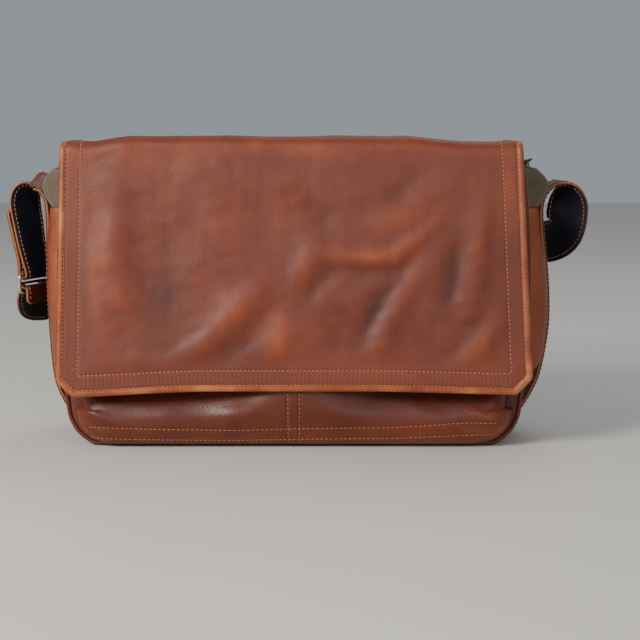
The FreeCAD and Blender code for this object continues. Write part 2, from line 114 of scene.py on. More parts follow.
class Path:
    """A line through points, read by the distance along it."""

    def __init__(self, points):
        self.points = np.array(points, float)
        steps = np.linalg.norm(np.diff(self.points, axis=0), axis=1)
        self.along = np.concatenate([[0], np.cumsum(steps)])
        self.length = self.along[-1]

    def at(self, s):
        return [np.interp(s, self.along, column) for column in self.points.T]


def rounded(points, radii, step=1.0):
    """A polyline in the plane with its corners rounded, as evenly stepped points."""
    out = [np.array(points[0], float)]
    for i in range(1, len(points) - 1):
        p, a, b = (np.array(q, float) for q in (points[i], points[i - 1], points[i + 1]))
        u, v = unit(a - p), unit(b - p)
        half = math.acos(np.clip(np.dot(u, v), -1, 1)) / 2
        cut = radii[i - 1] / math.tan(half)
        centre = p + unit(u + v) * radii[i - 1] / math.sin(half)
        start, end = p + u * cut - centre, p + v * cut - centre
        turn = PI - 2 * half
        for k in range(9):
            t = k / 8
            arc = start * math.sin((1 - t) * turn) + end * math.sin(t * turn)
            out.append(centre + arc / math.sin(turn))
    out.append(np.array(points[-1], float))
    path = Path(out)
    s = np.linspace(0, path.length, max(2, int(path.length / step)) + 1)
    return np.stack(path.at(s), -1)


def smoothed(points, steps):
    """Extra points along a smooth curve through the given ones."""
    pts = [np.array(p, float) for p in points]
    full = [pts[0] * 2 - pts[1]] + pts + [pts[-1] * 2 - pts[-2]]
    out = []
    for p0, p1, p2, p3 in zip(full, full[1:], full[2:], full[3:]):
        for k in range(steps):
            t = k / steps
            out.append((p1 * 2 + (p2 - p0) * t + (p0 * 2 - p1 * 5 + p2 * 4 - p3) * t ** 2
                        + (p1 * 3 - p0 - p2 * 3 + p3) * t ** 3) * 0.5)
    return np.array(out + [pts[-1]])


# --- meshes ---

def grid(a, b):
    return np.meshgrid(a, b, indexing="ij")


def chart(a, b):
    """Texture coordinates from two directions of a grid."""
    return np.stack([a, b, a * 0], -1)


def box_mm(node):
    return (np.array(c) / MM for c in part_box(node))


def dress(mesh, flat, wear_and_painted_light):
    """Gives each point its texture coordinates, in metres, and its wear together with any painted light and
    shade.
    """
    layer = mesh.attributes.new("flat", "FLOAT_VECTOR", "POINT")
    layer.data.foreach_set("vector", np.asarray(flat, np.float32).ravel())
    layer = mesh.attributes.new("wear_and_painted_light", "FLOAT", "POINT")
    layer.data.foreach_set("value", np.asarray(wear_and_painted_light, np.float32).ravel())


def make(name, verts, faces, material, flat=None, wear_and_painted_light=None, smooth=True):
    """A mesh object from millimetres, with its own texture coordinates and its wear with any painted light
    and shade.
    """
    mesh = bpy.data.meshes.new(name)
    verts = np.asarray(verts, float)
    mesh.from_pydata((verts * MM).tolist(), [], [list(map(int, f)) for f in faces])
    mesh.polygons.foreach_set("use_smooth", [smooth] * len(mesh.polygons))
    flat = verts if flat is None else np.asarray(flat, float)
    dress(mesh, flat * MM, np.full(len(verts), 0.5) if wear_and_painted_light is None else wear_and_painted_light)
    mesh.materials.append(material)
    obj = bpy.data.objects.new(name, mesh)
    bpy.context.scene.collection.objects.link(obj)
    return obj


def normals_of(P):
    return unit(np.cross(np.gradient(P, axis=0), np.gradient(P, axis=1)))


def slab(name, P, low, high, material, flat=None, wear_and_painted_light=None, cut=(), flip=False):
    """A sheet with thickness round a grid of points, its rims rounded. cut names sides that end square."""
    if flip:
        P = P[:, ::-1]
        flat = None if flat is None else flat[:, ::-1]
        wear_and_painted_light = None if wear_and_painted_light is None else wear_and_painted_light[:, ::-1]
    nu, nv = P.shape[:2]
    N = normals_of(P)
    idx = np.arange(nu * nv).reshape(nu, nv)
    quads = np.stack([idx[:-1, :-1], idx[1:, :-1], idx[1:, 1:], idx[:-1, 1:]], -1).reshape(-1, 4)
    sides = [("v0", idx[:, 0], idx[:, 1]), ("u1", idx[-1, :], idx[-2, :]),
             ("v1", idx[::-1, -1], idx[::-1, -2]), ("u0", idx[0, ::-1], idx[1, ::-1])]
    flatP, flatN = P.reshape(-1, 3), N.reshape(-1, 3)
    T = np.zeros_like(flatP)
    square = np.zeros(nu * nv, bool)
    for side, here, inner in sides:
        if side in cut:
            square[here] = True
        else:
            T[here] += unit(flatP[here] - flatP[inner])
    T -= flatN * (T * flatN).sum(-1, keepdims=True)
    T = unit(T) * (np.linalg.norm(T, axis=-1, keepdims=True) > 1e-6)
    T[square] = 0
    ring = np.concatenate([s[1][:-1] for s in sides])
    count = nu * nv
    verts = [flatP + flatN * high, flatP + flatN * low]
    middle, half = (low + high) / 2, (high - low) / 2
    source = [np.arange(count), np.arange(count)]
    rows = [ring]
    base = 2 * count
    for k in range(1, 4):
        a = k * PI / 4
        raised = (flatP + flatN * middle)[ring] + flatN[ring] * half * math.cos(a)
        verts.append(raised + T[ring] * half * math.sin(a))
        source.append(ring)
        rows.append(np.arange(base, base + len(ring)))
        base += len(ring)
    rows.append(ring + count)
    faces = [quads, quads[:, ::-1] + count]
    for top, below in zip(rows, rows[1:]):
        faces.append(np.stack([top, below, np.roll(below, -1), np.roll(top, -1)], -1))
    verts, source = np.concatenate(verts), np.concatenate(source)
    if flat is None:
        flat = P
    flat = flat.reshape(-1, 3)[source]
    wear_and_painted_light = np.full(count, 0.5) if wear_and_painted_light is None else wear_and_painted_light.reshape(-1)
    wear_and_painted_light = wear_and_painted_light[source]
    used = np.zeros(len(verts), bool)
    faces = np.concatenate(faces)
    used[faces.ravel()] = True
    index = np.cumsum(used) - 1
    obj = make(name, verts[used], index[faces], material, flat[used], wear_and_painted_light[used])
    seam = np.zeros(len(verts), bool)
    seam[:2 * count] = np.tile(square, 2)
    pairs = np.empty(2 * len(obj.data.edges), np.int32)
    obj.data.edges.foreach_get("vertices", pairs)
    obj.data.edges.foreach_set("use_edge_sharp", seam[used][pairs.reshape(-1, 2)].all(axis=1))
    return obj


def tube(name, points, radius, material, sides=10, wobble=0.0):
    """A round tube with domed ends along points."""
    C = np.asarray(points, float)
    t = unit(np.gradient(C, axis=0))
    up = np.array([0, 0, 1.0]) if abs(t[0][2]) < 0.9 else np.array([0, 1.0, 0])
    rings, n = [], unit(np.cross(t[0], up))
    r = np.broadcast_to(np.asarray(radius, float), len(C)).copy()
    if wobble:
        r += wobble * noise(np.arange(len(C)) * 1.0, np.zeros(len(C)), 6, 3, 20, len(C))
    last = len(C) - 1
    stations = [(0, -0.8, 0.5), (0, -0.3, 0.9)] + [(i, 0, 1) for i in range(last + 1)]
    stations += [(last, 0.3, 0.9), (last, 0.8, 0.5)]
    ang = np.arange(sides) * 2 * PI / sides
    for i, shift, scale in stations:
        n = unit(n - t[i] * np.dot(n, t[i]))
        b = np.cross(t[i], n)
        centre = C[i] + t[i] * shift * r[i]
        rings.append(centre + (np.outer(np.cos(ang), n) + np.outer(np.sin(ang), b)) * r[i] * scale)
    verts = np.concatenate(rings)
    count = len(rings)
    faces = []
    for i in range(count - 1):
        for k in range(sides):
            a, b = i * sides + k, i * sides + (k + 1) % sides
            faces.append((a, b, b + sides, a + sides))
    faces.append(list(range(sides))[::-1])
    faces.append([(count - 1) * sides + k for k in range(sides)])
    return make(name, verts, faces, material)


def loops(name, rings, material, flat, wear_and_painted_light):
    """A closed section carried through stations: rings is stations x section x 3."""
    n, m = rings.shape[:2]
    idx = np.arange(n * m).reshape(n, m)
    nxt = np.roll(idx, -1, axis=1)
    quads = np.stack([idx[:-1], nxt[:-1], nxt[1:], idx[1:]], -1).reshape(-1, 4).tolist()
    quads += [idx[0][::-1].tolist(), idx[-1].tolist()]
    obj = make(name, rings.reshape(-1, 3), quads, material, flat.reshape(-1, 3), wear_and_painted_light)
    shell = bmesh.new()
    shell.from_mesh(obj.data)
    bmesh.ops.recalc_face_normals(shell, faces=shell.faces)
    shell.to_mesh(obj.data)
    shell.free()
    return obj


def on(S, a, b, h=0.0):
    """Points h outside surface S, and its normals."""
    a, b = np.broadcast_arrays(np.asarray(a, float), np.asarray(b, float))
    d = 0.4
    n = unit(np.cross(S(a + d, b) - S(a - d, b), S(a, b + d) - S(a, b - d)))
    return S(a, b) + n * h, n


STITCH = 3.6
SLANT = 0.12


def thread(name, runs, material, pitch=STITCH, radius=0.56):
    """Stitches along runs of (points, normals): each is a small capsule whose ends dip into the leather."""
    ends = [-0.44, -0.36, -0.15, 0.15, 0.36, 0.44]
    girth = [0.35, 0.85, 1.0, 1.0, 0.85, 0.35]
    height = [-0.55, -0.05, 0.42, 0.42, -0.05, -0.55]
    # Each stitch runs from dark at its ends to light at its crown: the dark ends are painted shade inside the
    # needle holes.
    hole_shade = [0.0, 0.35, 0.9, 0.9, 0.35, 0.0]
    sides = 6
    ang = np.arange(sides) * 2 * PI / sides
    verts, faces, wears = [], [], []
    template = []
    for i in range(len(ends) - 1):
        for k in range(sides):
            a, b = i * sides + k, i * sides + (k + 1) % sides
            template.append((a, b, b + sides, a + sides))
    per = len(ends) * sides
    template = np.array(template)
    caps = [list(range(sides))[::-1], [per - sides + k for k in range(sides)]]
    base = 0
    for points, norms in runs:
        path = Path(points)
        count = max(1, int(path.length / pitch))
        s = (np.arange(count) + 0.5) * path.length / count
        c = np.stack(path.at(s), -1)
        n = unit(np.stack([np.interp(s, path.along, col) for col in np.asarray(norms).T], -1))
        t = unit(np.stack(path.at(s + 0.5), -1) - np.stack(path.at(s - 0.5), -1))
        t = unit(t - n * (t * n).sum(-1, keepdims=True))
        b = np.cross(n, t)
        t = unit(t + b * SLANT)
        b = np.cross(n, t)
        e, g, h = np.array(ends) * pitch, np.array(girth) * radius, np.array(height) * radius
        ring = (np.cos(ang)[:, None, None] * b + np.sin(ang)[:, None, None] * n * 0.8)
        V = (c[None, None] + t[None, None] * e[:, None, None, None] + n[None, None] * h[:, None, None, None]
             + ring[None] * g[:, None, None, None])
        V = V.transpose(2, 0, 1, 3).reshape(count * per, 3)
        verts.append(V)
        wears.append(np.tile(np.repeat(hole_shade, sides), count))
        shift = base + np.arange(count) * per
        faces += (template[None] + shift[:, None, None]).reshape(-1, 4).tolist()
        for cap in caps:
            faces += (np.array(cap)[None] + shift[:, None]).tolist()
        base += count * per
    return make(name, np.concatenate(verts), faces, material, wear_and_painted_light=np.concatenate(wears))


def run_on(S, points, h):
    """A stitch line on a surface from 2-D points."""
    line = rounded(points, [0.01] * (len(points) - 2), 2.0)
    return on(S, line[:, 0], line[:, 1], h)


def place(obj, body, slot=None, replaces=()):
    """Rides a piece on one body; given two bodies with their start and end, it only leaves the piece where it
    lies.
    """
    if isinstance(body, str):
        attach(obj, body)
    else:
        a, b, start, end = body
        tuple(c * MM for c in start)
        tuple(c * MM for c in end)
        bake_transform(obj)
    if replaces:
        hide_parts(*replaces)
    return obj


# --- materials ---

def colour(r, g, b):
    """An 8-bit display colour as linear RGBA."""
    def lin(c):
        c /= 255
        return c / 12.92 if c <= 0.04045 else ((c + 0.055) / 1.055) ** 2.4
    return (lin(r), lin(g), lin(b), 1)


class Nodes:
    """A material's node tree with short calls."""

    def __init__(self, name, coords="flat"):
        self.material = bpy.data.materials.new(name)
        self.material.use_nodes = True
        self.tree = self.material.node_tree
        self.shader = self.tree.nodes["Principled BSDF"]
        if coords == "flat":
            self.place = self.add("ShaderNodeAttribute", attribute_name="flat").outputs["Vector"]
        else:
            self.place = self.add("ShaderNodeTexCoord").outputs["Object"]

    def add(self, kind, inputs=None, **props):
        node = self.tree.nodes.new(kind)
        for key, value in props.items():
            setattr(node, key, value)
        for key, value in (inputs or {}).items():
            self.set(node.inputs[key], value)
        return node

    def set(self, socket, value):
        if isinstance(value, bpy.types.NodeSocket):
            self.tree.links.new(value, socket)
        else:
            socket.default_value = value

    def noise(self, scale, detail=4.0, rough=0.5, kind="FBM", vector=None, warp=0.0):
        inputs = {"Vector": vector or self.place, "Scale": scale, "Detail": detail, "Roughness": rough,
                  "Distortion": warp}
        return self.add("ShaderNodeTexNoise", inputs, noise_type=kind).outputs["Fac"]

    def cells(self, scale, feature="F1"):
        return self.add("ShaderNodeTexVoronoi", {"Vector": self.place, "Scale": scale},
                        feature=feature).outputs["Distance"]

    def maths(self, operation, a, b=0.0):
        node = self.add("ShaderNodeMath", operation=operation)
        self.set(node.inputs[0], a)
        self.set(node.inputs[1], b)
        return node.outputs[0]

    def plus(self, *terms):
        """Sum of (socket, factor, middle) terms, each as (socket - middle) * factor."""
        total = 0.0
        for socket, factor, middle in terms:
            part = self.maths("MULTIPLY", self.maths("SUBTRACT", socket, middle), factor)
            total = self.maths("ADD", part, total)
        return total

    def stretch(self, scale):
        return self.add("ShaderNodeMapping", {"Vector": self.place, "Scale": scale}).outputs[0]

    # Per-point wear, which on some pieces also holds painted light and shade.
    def wear_and_painted_light(self):
        return self.add("ShaderNodeAttribute", attribute_name="wear_and_painted_light").outputs["Fac"]

    def shades(self, fac, stops):
        node = self.add("ShaderNodeValToRGB", {"Fac": fac})
        ramp_ = node.color_ramp
        while len(ramp_.elements) < len(stops):
            ramp_.elements.new(0.5)
        for element, (position, value) in zip(ramp_.elements, stops):
            element.position = position
            element.color = value
        return node.outputs["Color"]

    def finish(self, base, rough, heights=(), **sockets):
        """heights are (height, distance in metres) pairs for bump."""
        self.set(self.shader.inputs["Base Color"], base)
        self.set(self.shader.inputs["Roughness"], rough)
        normal = None
        for height, distance in heights:
            node = self.add("ShaderNodeBump", {"Height": height, "Distance": distance, "Strength": 1.0})
            if normal is not None:
                self.set(node.inputs["Normal"], normal)
            normal = node.outputs[0]
        if normal is not None:
            self.set(self.shader.inputs["Normal"], normal)
        for key, value in sockets.items():
            self.set(self.shader.inputs[key.replace("_", " ")], value)
        return self.material


def leather(name, rough, stops, mottle=0.5, grain=1.0):
    """Waxed pull-up leather: cloudy colour, pale worn ridges, pebbled grain and fine creases."""
    n = Nodes(name)
    cloud = n.noise(13, 5, 0.55, warp=0.7)
    patch = n.noise(48, 5, 0.6, warp=0.4)
    speck = n.noise(650, 3, 0.6)
    streak = n.noise(55, 4, 0.6, vector=n.stretch((1, 0.35, 1)), warp=1.0)
    value = n.plus((n.wear_and_painted_light(), 1.0, 0.0), (cloud, mottle, 0.5), (patch, mottle * 0.55, 0.5),
                   (streak, mottle * 0.35, 0.5), (speck, 0.22, 0.5))
    base = n.shades(value, [(at, colour(*rgb)) for at, rgb in stops])
    creases = n.noise(150, 4, 0.65, "RIDGED_MULTIFRACTAL", warp=0.3)
    pores = n.cells(1250)
    pebbles = n.cells(620, "SMOOTH_F1")
    roughness = n.plus((patch, 0.22, 0.5), (speck, 0.12, 0.5), (pores, 0.1, 0.4), (1.0, rough, 0.0))
    return n.finish(base, roughness,
                    [(creases, 0.00003 * grain), (pebbles, 0.0002 * grain), (pores, 0.00013 * grain)])


def fabric(name, dark, light, pitch):
    """A plain weave: crossing yarns with slubs and faded patches."""
    n = Nodes(name)
    split = n.add("ShaderNodeSeparateXYZ", {"Vector": n.place})
    k = PI / (pitch * MM)
    u = n.maths("SINE", n.maths("MULTIPLY", split.outputs[0], k))
    v = n.maths("SINE", n.maths("MULTIPLY", split.outputs[1], k))
    weave = n.maths("MULTIPLY", u, v)
    slub = n.noise(300, 3, 0.6, vector=n.stretch((1, 0.15, 1)))
    fade = n.noise(28, 5, 0.6, warp=0.5)
    speck = n.noise(1500, 2, 0.5)
    value = n.plus((weave, 0.16, 0.0), (slub, 0.25, 0.5), (fade, 0.5, 0.5), (speck, 0.3, 0.5),
                   (n.wear_and_painted_light(), 1.0, 0.0))
    base = n.shades(value, [(0.1, dark), (0.9, light)])
    return n.finish(base, 0.85, [(weave, 0.00018), (slub, 0.0001)], Sheen_Weight=0.25, Sheen_Roughness=0.5)


def metal(name, tint, rough, coords="object"):
    n = Nodes(name, coords)
    brush = n.noise(900, 4, 0.6, vector=n.stretch((1, 0.08, 1)))
    smear = n.noise(60, 4, 0.6)
    shade = [tuple(c * f for c in tint[:3]) + (1,) for f in (0.72, 1.0)]
    base = n.shades(n.plus((smear, 0.8, 0.5), (brush, 0.4, 0.5), (1.0, 0.5, 0.0)),
                    [(0.2, shade[0]), (0.8, shade[1])])
    roughness = n.plus((brush, 0.14, 0.5), (smear, 0.16, 0.5), (1.0, rough, 0.0))
    return n.finish(base, roughness, [(brush, 0.00001)], Metallic=1.0)


def cotton(name, dark, light):
    """Waxed sewing thread with a fine twist."""
    n = Nodes(name)
    twist = n.noise(1900, 2, 0.5, vector=n.stretch((1, 0.3, 0.3)))
    # The point attribute darkens each stitch's ends: painted shade in the needle holes.
    value = n.plus((n.wear_and_painted_light(), 0.9, 0.0), (twist, 0.5, 0.5))
    return n.finish(n.shades(value, [(0.05, dark), (0.75, light)]), 0.6, [(twist, 0.00006)], Sheen_Weight=0.1)


def board(name):
    n = Nodes(name, "object")
    fibre = n.noise(240, 5, 0.7, vector=n.stretch((0.2, 1, 1)))
    base = n.shades(fibre, [(0.3, colour(120, 104, 84)), (0.7, colour(158, 140, 116))])
    return n.finish(base, 0.85, [(fibre, 0.0001)])


FLAP = leather("flap_hide", 0.5, [(0.05, (70, 22, 6)), (0.35, (98, 38, 16)), (0.58, (114, 48, 22)),
                                  (0.8, (134, 60, 27)), (0.98, (156, 80, 40))], grain=0.5)
HIDE = leather("body_hide", 0.42, [(0.05, (56, 18, 8)), (0.4, (84, 32, 15)), (0.65, (100, 43, 22)),
                                   (0.95, (134, 66, 32))])
POCKET = leather("pocket_hide", 0.42, [(0.05, (60, 18, 3)), (0.4, (90, 32, 8)), (0.68, (112, 46, 15)),
                                       (0.95, (140, 70, 30))], 0.45, 0.5)
TAN = leather("tan_hide", 0.45, [(0.05, (84, 36, 16)), (0.4, (122, 54, 26)), (0.7, (144, 68, 32)),
                                 (0.95, (172, 94, 50))])
BINDING = leather("binding_hide", 0.42, [(0.05, (96, 42, 16)), (0.4, (134, 62, 24)), (0.7, (154, 76, 32)),
                                         (0.95, (182, 106, 56))], 0.4, 0.7)
STRAP = leather("strap_hide", 0.4, [(0.05, (62, 24, 12)), (0.4, (92, 38, 22)), (0.7, (118, 54, 30)),
                                    (0.95, (160, 88, 44))])
DARK = leather("strap_back", 0.5, [(0.05, (14, 16, 22)), (0.5, (27, 32, 44)), (0.95, (48, 52, 64))])
LINING = fabric("flap_cloth", colour(44, 30, 24), colour(78, 56, 44), pitch=0.7)
CANVAS = fabric("olive_canvas", colour(58, 46, 32), colour(110, 92, 68), pitch=1.1)
TAPE = fabric("zip_tape", colour(14, 13, 13), colour(40, 36, 33), pitch=0.6)
PAD = fabric("insert_cloth", colour(58, 52, 44), colour(102, 92, 78), pitch=0.8)
EDGE = fabric("insert_binding", colour(26, 22, 20), colour(48, 42, 38), pitch=0.6)
BRASS = metal("aged_brass", colour(196, 160, 100), 0.32)
NICKEL = metal("brushed_nickel", colour(214, 208, 200), 0.26)
TEETH = metal("tooth_brass", colour(196, 160, 100), 0.34, "flat")
THREAD = cotton("brown_thread", colour(66, 30, 14), colour(172, 106, 62))
PALE = cotton("tan_thread", colour(90, 50, 28), colour(160, 104, 64))
BLACK = cotton("dark_thread", colour(24, 16, 12), colour(96, 78, 62))
FIBRE = board("grey_board")


# --- the flap ---

CREASE_Z = 263.4
FLAP_HALF = 200.0
CHAMFER = 14.0
FLAP_LINE = Path(rounded([(53.2, 200), (50.53, CREASE_Z), (-60, CREASE_Z), (-88, 46)], [12, 9], 0.5))
LINE_T = unit(np.gradient(FLAP_LINE.points, axis=0))
FLAP_END = FLAP_LINE.length
FRONT_DROP = 217.0
FRONT_S = FLAP_END - FRONT_DROP
MID_S = float(np.interp(0, -FLAP_LINE.points[:, 0], FLAP_LINE.along))
OUTER_ROW, INNER_ROW = 5.4, 18.2
OUTER_LIFT, INNER_LIFT = 1.95, 1.45
HEM_INSET, CLOTH_INSET = 1.0, 3.0
LEATHER_LOW, LEATHER_HIGH, LINING_LOW = -0.6, 1.6, -1.6

FOLDS = [
    ([(-150, 208), (-153, 165), (-147, 118)], 10, 2.6),
    ([(-133, 198), (-128, 150), (-121, 108)], 9, -1.8),
    ([(-171, 195), (-173, 150), (-163, 112)], 6, 1.2),
    ([(-104, 196), (-111, 150), (-103, 108), (-92, 88)], 13, -2.4),
    ([(-26, 146), (-50, 118), (-76, 88), (-104, 70)], 10, 3.6),
    ([(-14, 130), (-36, 100), (-60, 70)], 9, -2.2),
    ([(22, 184), (11, 160), (0, 138)], 9, 2.4),
    ([(38, 160), (20, 143), (8, 126)], 7, -2.0),
    ([(26, 171), (55, 166), (84, 168), (108, 184), (130, 206)], 6, 2.4),
    ([(28, 159), (60, 154), (90, 156), (106, 168)], 6, -2.2),
    ([(100, 158), (74, 128), (58, 98), (50, 78)], 8, -2.2),
    ([(112, 160), (90, 130), (74, 96), (66, 74)], 8, 2.2),
    ([(167, 214), (158, 180), (149, 142), (144, 108)], 10, 2.4),
    ([(146, 192), (138, 150), (128, 118)], 9, -1.9),
    ([(184, 120), (152, 84), (134, 62)], 9, 2.2),
    ([(164, 122), (140, 92), (120, 66)], 8, -1.5),
    ([(136, 234), (100, 204), (70, 188)], 10, 1.6),
    ([(120, 240), (84, 216), (52, 206)], 8, -1.3),
    ([(-176, 238), (-150, 228), (-118, 230)], 9, 1.3),
    ([(8, 218), (24, 202), (20, 184)], 11, -2.2),
    ([(-172, 68), (-130, 75), (-92, 70)], 7, 1.6),
    ([(-4, 112), (-14, 86), (-26, 68)], 9, 1.5),
    ([(40, 104), (30, 76)], 9, -1.3),
    ([(-80, 222), (-60, 196), (-56, 168)], 11, 1.3),
    ([(-40, 226), (-22, 200), (-24, 176)], 10, -1.2),
]
# Colour patches on the flap front: x, height, two half sizes and a strength. The lighter ones are pull-up
# patches in the leather; the darker ones are painted shade where the folds turn from the light.
FLAP_PULL_UP_AND_SHADE = [
    (60, 169, 46, 10, 0.16), (0, 200, 44, 13, 0.14), (-18, 96, 18, 26, 0.26), (-166, 160, 8, 44, 0.3),
    (-120, 247, 60, 9, 0.26), (20, 252, 40, 8, 0.2), (-184, 210, 10, 40, 0.2), (186, 225, 8, 26, 0.35),
    (70, 66, 50, 12, 0.22), (-110, 140, 16, 46, -0.2), (22, 202, 20, 15, -0.2), (70, 116, 20, 30, -0.2),
    (132, 150, 14, 42, -0.2), (-34, 84, 12, 22, -0.2), (-60, 246, 80, 6, -0.08), (160, 75, 22, 20, 0.12),
    (-140, 190, 14, 30, -0.1), (-52, 128, 20, 16, 0.12), (96, 196, 26, 12, 0.12),
]
MAGNET_X, MAGNET_Z = 110.0, 92.0


def flap_edges(s, x):
    side, low = FLAP_HALF - np.abs(x), FLAP_END - s
    return side, low, np.minimum(np.minimum(side, low), (side + low - CHAMFER) / math.sqrt(2))


def front_z(s):
    """About how high a row of the hanging front lies."""
    return CREASE_Z - (s - FRONT_S) * 0.992


def flap_relief(s, x):
    """How far the leather's folds stand out, away from its stitched edges."""
    z = front_z(s)
    side, low, _ = flap_edges(s, x)
    front = ramp(s, FRONT_S + 2, FRONT_S + 30)
    calm = ramp(np.minimum(side, low), 14, 42) * (1 - bell(np.hypot(np.abs(x) - MAGNET_X, z - MAGNET_Z), 14))
    soft = noise(x, s, 26, 28, 120, 5) * 0.55 + noise(x, s, 26, 11, 30, 9) * 0.16
    out = calm * (ridges(x, z, FOLDS, 1.25) * front * 0.95 + soft)
    out += front * calm * 2.4 * np.cos(PI * x / 430) * np.sin(PI * np.clip((s - FRONT_S) / FRONT_DROP, 0, 1))
    return out + noise(x, s, 20, 50, 160, 3) * 0.35 * ramp(s, 20, 70)


def flap(s, x):
    s, x = np.broadcast_arrays(np.asarray(s, float), np.asarray(x, float))
    y, z = FLAP_LINE.at(s)
    ty, tz = (np.interp(s, FLAP_LINE.along, col) for col in LINE_T.T)
    side, low, rim = flap_edges(s, x)
    down = np.clip((s - FRONT_S) / FRONT_DROP, 0, 1)
    out = flap_relief(s, x)
    front = ramp(s, FRONT_S + 10, FRONT_S + 40)
    out -= 0.35 * bell(rim - OUTER_ROW, 0.9)
    out -= 0.35 * bell(np.minimum(side, low) - INNER_ROW, 0.9) * front
    out += (0.2 * front * np.sin(2 * PI * x / STITCH) * ramp(low, 6, 9) * (1 - ramp(low, 15, 19))
            * ramp(side, 14, 22))
    out += 0.1 * front * np.sin(2 * PI * (s + 0.4 * x) / STITCH) * ramp(side, 6, 9) * (1 - ramp(side, 15, 19))
    plateau = ramp(x, -180, -136) * (1 - ramp(x, 92, 158))
    ends = ramp(np.abs(x), 180, 190)
    lift = 1.8 - 4.6 * (1 - plateau) + 1.2 * ends - 2.6 * ramp(np.abs(x), 190, 201)
    level = ramp(s, 10, 60) * (1 - ramp(s, FRONT_S + 4, FRONT_S + 60))
    hem = 0.5 + 5.3 * ramp(x, -205, -70) - 3.0 * ramp(x, 60, 205)
    sag = 4.0 * ramp(y, -25, 46) * ramp(s, 20, 60)
    z = z + lift * level - sag + hem * ramp(s, FRONT_S + 90, FLAP_END) - ty * out
    y = y + tz * out
    wide = x * (0.985 + 0.03 * down) - 1.7 * (1 - down) + 0.85 * down
    return np.stack([wide, y, z], -1)


def flap_grid(s0, s1):
    """Rows and columns of the flap, finer by the stitches, with the lower corners cut off."""
    fine = FLAP_END - 24
    s = np.arange(s0, min(s1, fine), 2.0)
    if s1 > fine:
        s = np.concatenate([s, np.arange(fine, s1, 1.0)])
    s = np.concatenate([s[s < s1 - 0.5], [s1]])
    u = np.linspace(-1, 1, 340)
    half = FLAP_HALF - HEM_INSET - np.clip(s - (FLAP_END - CHAMFER - HEM_INSET * 0.4), 0, None)
    flat_part = 0.86
    share = np.clip((np.abs(u) - flat_part) / (1 - flat_part), 0, 1)
    core = flat_part * (FLAP_HALF - HEM_INSET)
    x = np.sign(u)[None] * np.where(share[None] > 0, core + share[None] * (half[:, None] - core),
                                    np.abs(u)[None] * (FLAP_HALF - HEM_INSET))
    return np.broadcast_to(s[:, None], x.shape), x


def flap_sheet(name, s0, s1, where, replaces, cut):
    s, x = flap_grid(s0, s1)
    P = flap(s, x)
    relief = flap_relief(s, x)
    z = front_z(s)
    bend = (np.gradient(np.gradient(relief, axis=0), axis=0) / 4
            + np.gradient(np.gradient(relief, axis=1), axis=1) / 1.4)
    for _ in range(10):
        bend = (bend + np.roll(bend, 1, 0) + np.roll(bend, -1, 0)
                + np.roll(bend, 1, 1) + np.roll(bend, -1, 1)) / 5
    side, lower, rim = flap_edges(s, x)
    # Flap colour: lighter on fold crests from the bend, plus the patches above, whose darker ones are painted
    # shade in the folds; a light band at the top crease; darker along the stitch rows.
    wear_and_painted_light = 0.47 + np.clip(-bend * 3.5, -0.16, 0.2) + blobs(x, z, FLAP_PULL_UP_AND_SHADE) * ramp(s, FRONT_S - 10, FRONT_S + 6)
    wear_and_painted_light += 0.14 * bell(s - FRONT_S - 4, 7) + 0.06 * bell(lower - 12, 5) * np.sin(2 * PI * x / STITCH)
    wear_and_painted_light -= 0.1 * bell(rim - OUTER_ROW, 1.0) + 0.1 * bell(np.minimum(side, lower) - INNER_ROW, 1.0)
    obj = slab(name, P, LEATHER_LOW, LEATHER_HIGH, FLAP, flat=chart(x, s), wear_and_painted_light=wear_and_painted_light, cut=cut)
    return place(obj, where, "flap_leather", replaces)


TOP_BEND = ("bag", "flap_top", (0, 51.5, 256), (0, 43, 264))
FRONT_BEND = ("flap_top", "flap_front", (0, -35, 263.4), (0, -63, 235))
back_hide = flap_sheet("flap_back_leather", 2, MID_S, TOP_BEND, ["flap_anchor_strip"], ("u1",))
front_hide = flap_sheet("flap_front_leather", MID_S, FLAP_END - HEM_INSET, FRONT_BEND,
                        ["flap_top", "flap_front"], ("u0",))


def lining(name, s0, s1, where, replaces, cut):
    """The cloth inside the flap, on a coarser grid."""
    s = np.linspace(s0, s1, int((s1 - s0) / 4) + 2)
    half = FLAP_HALF - CLOTH_INSET - np.clip(s - (FLAP_END - CHAMFER - 2), 0, None)
    x = np.linspace(-1, 1, 120)[None] * half[:, None]
    s = np.broadcast_to(s[:, None], x.shape)
    obj = slab(name, flap(s, x), LINING_LOW, LEATHER_LOW, LINING, flat=chart(x, s), cut=cut)
    return place(obj, where, "flap_lining", replaces)


back_lining = lining("flap_back_lining", 3, MID_S, TOP_BEND, ["flap_top_lining"], ("u1",))
front_lining = lining("flap_front_lining_cloth", MID_S, FLAP_END - 2, FRONT_BEND, ["flap_front_lining"],
                      ("u0",))

BIND_SECTION = [(6.4, 1.4), (6.1, 2.1), (5.4, 2.05), (4.6, 2.45), (3.0, 2.7), (1.4, 2.4), (0.35, 1.5), (0, 0),
                (0.35, -1.5), (1.4, -2.4), (3.0, -2.7), (4.6, -2.45), (5.4, -2.05), (6.1, -2.1), (6.4, -1.4)]


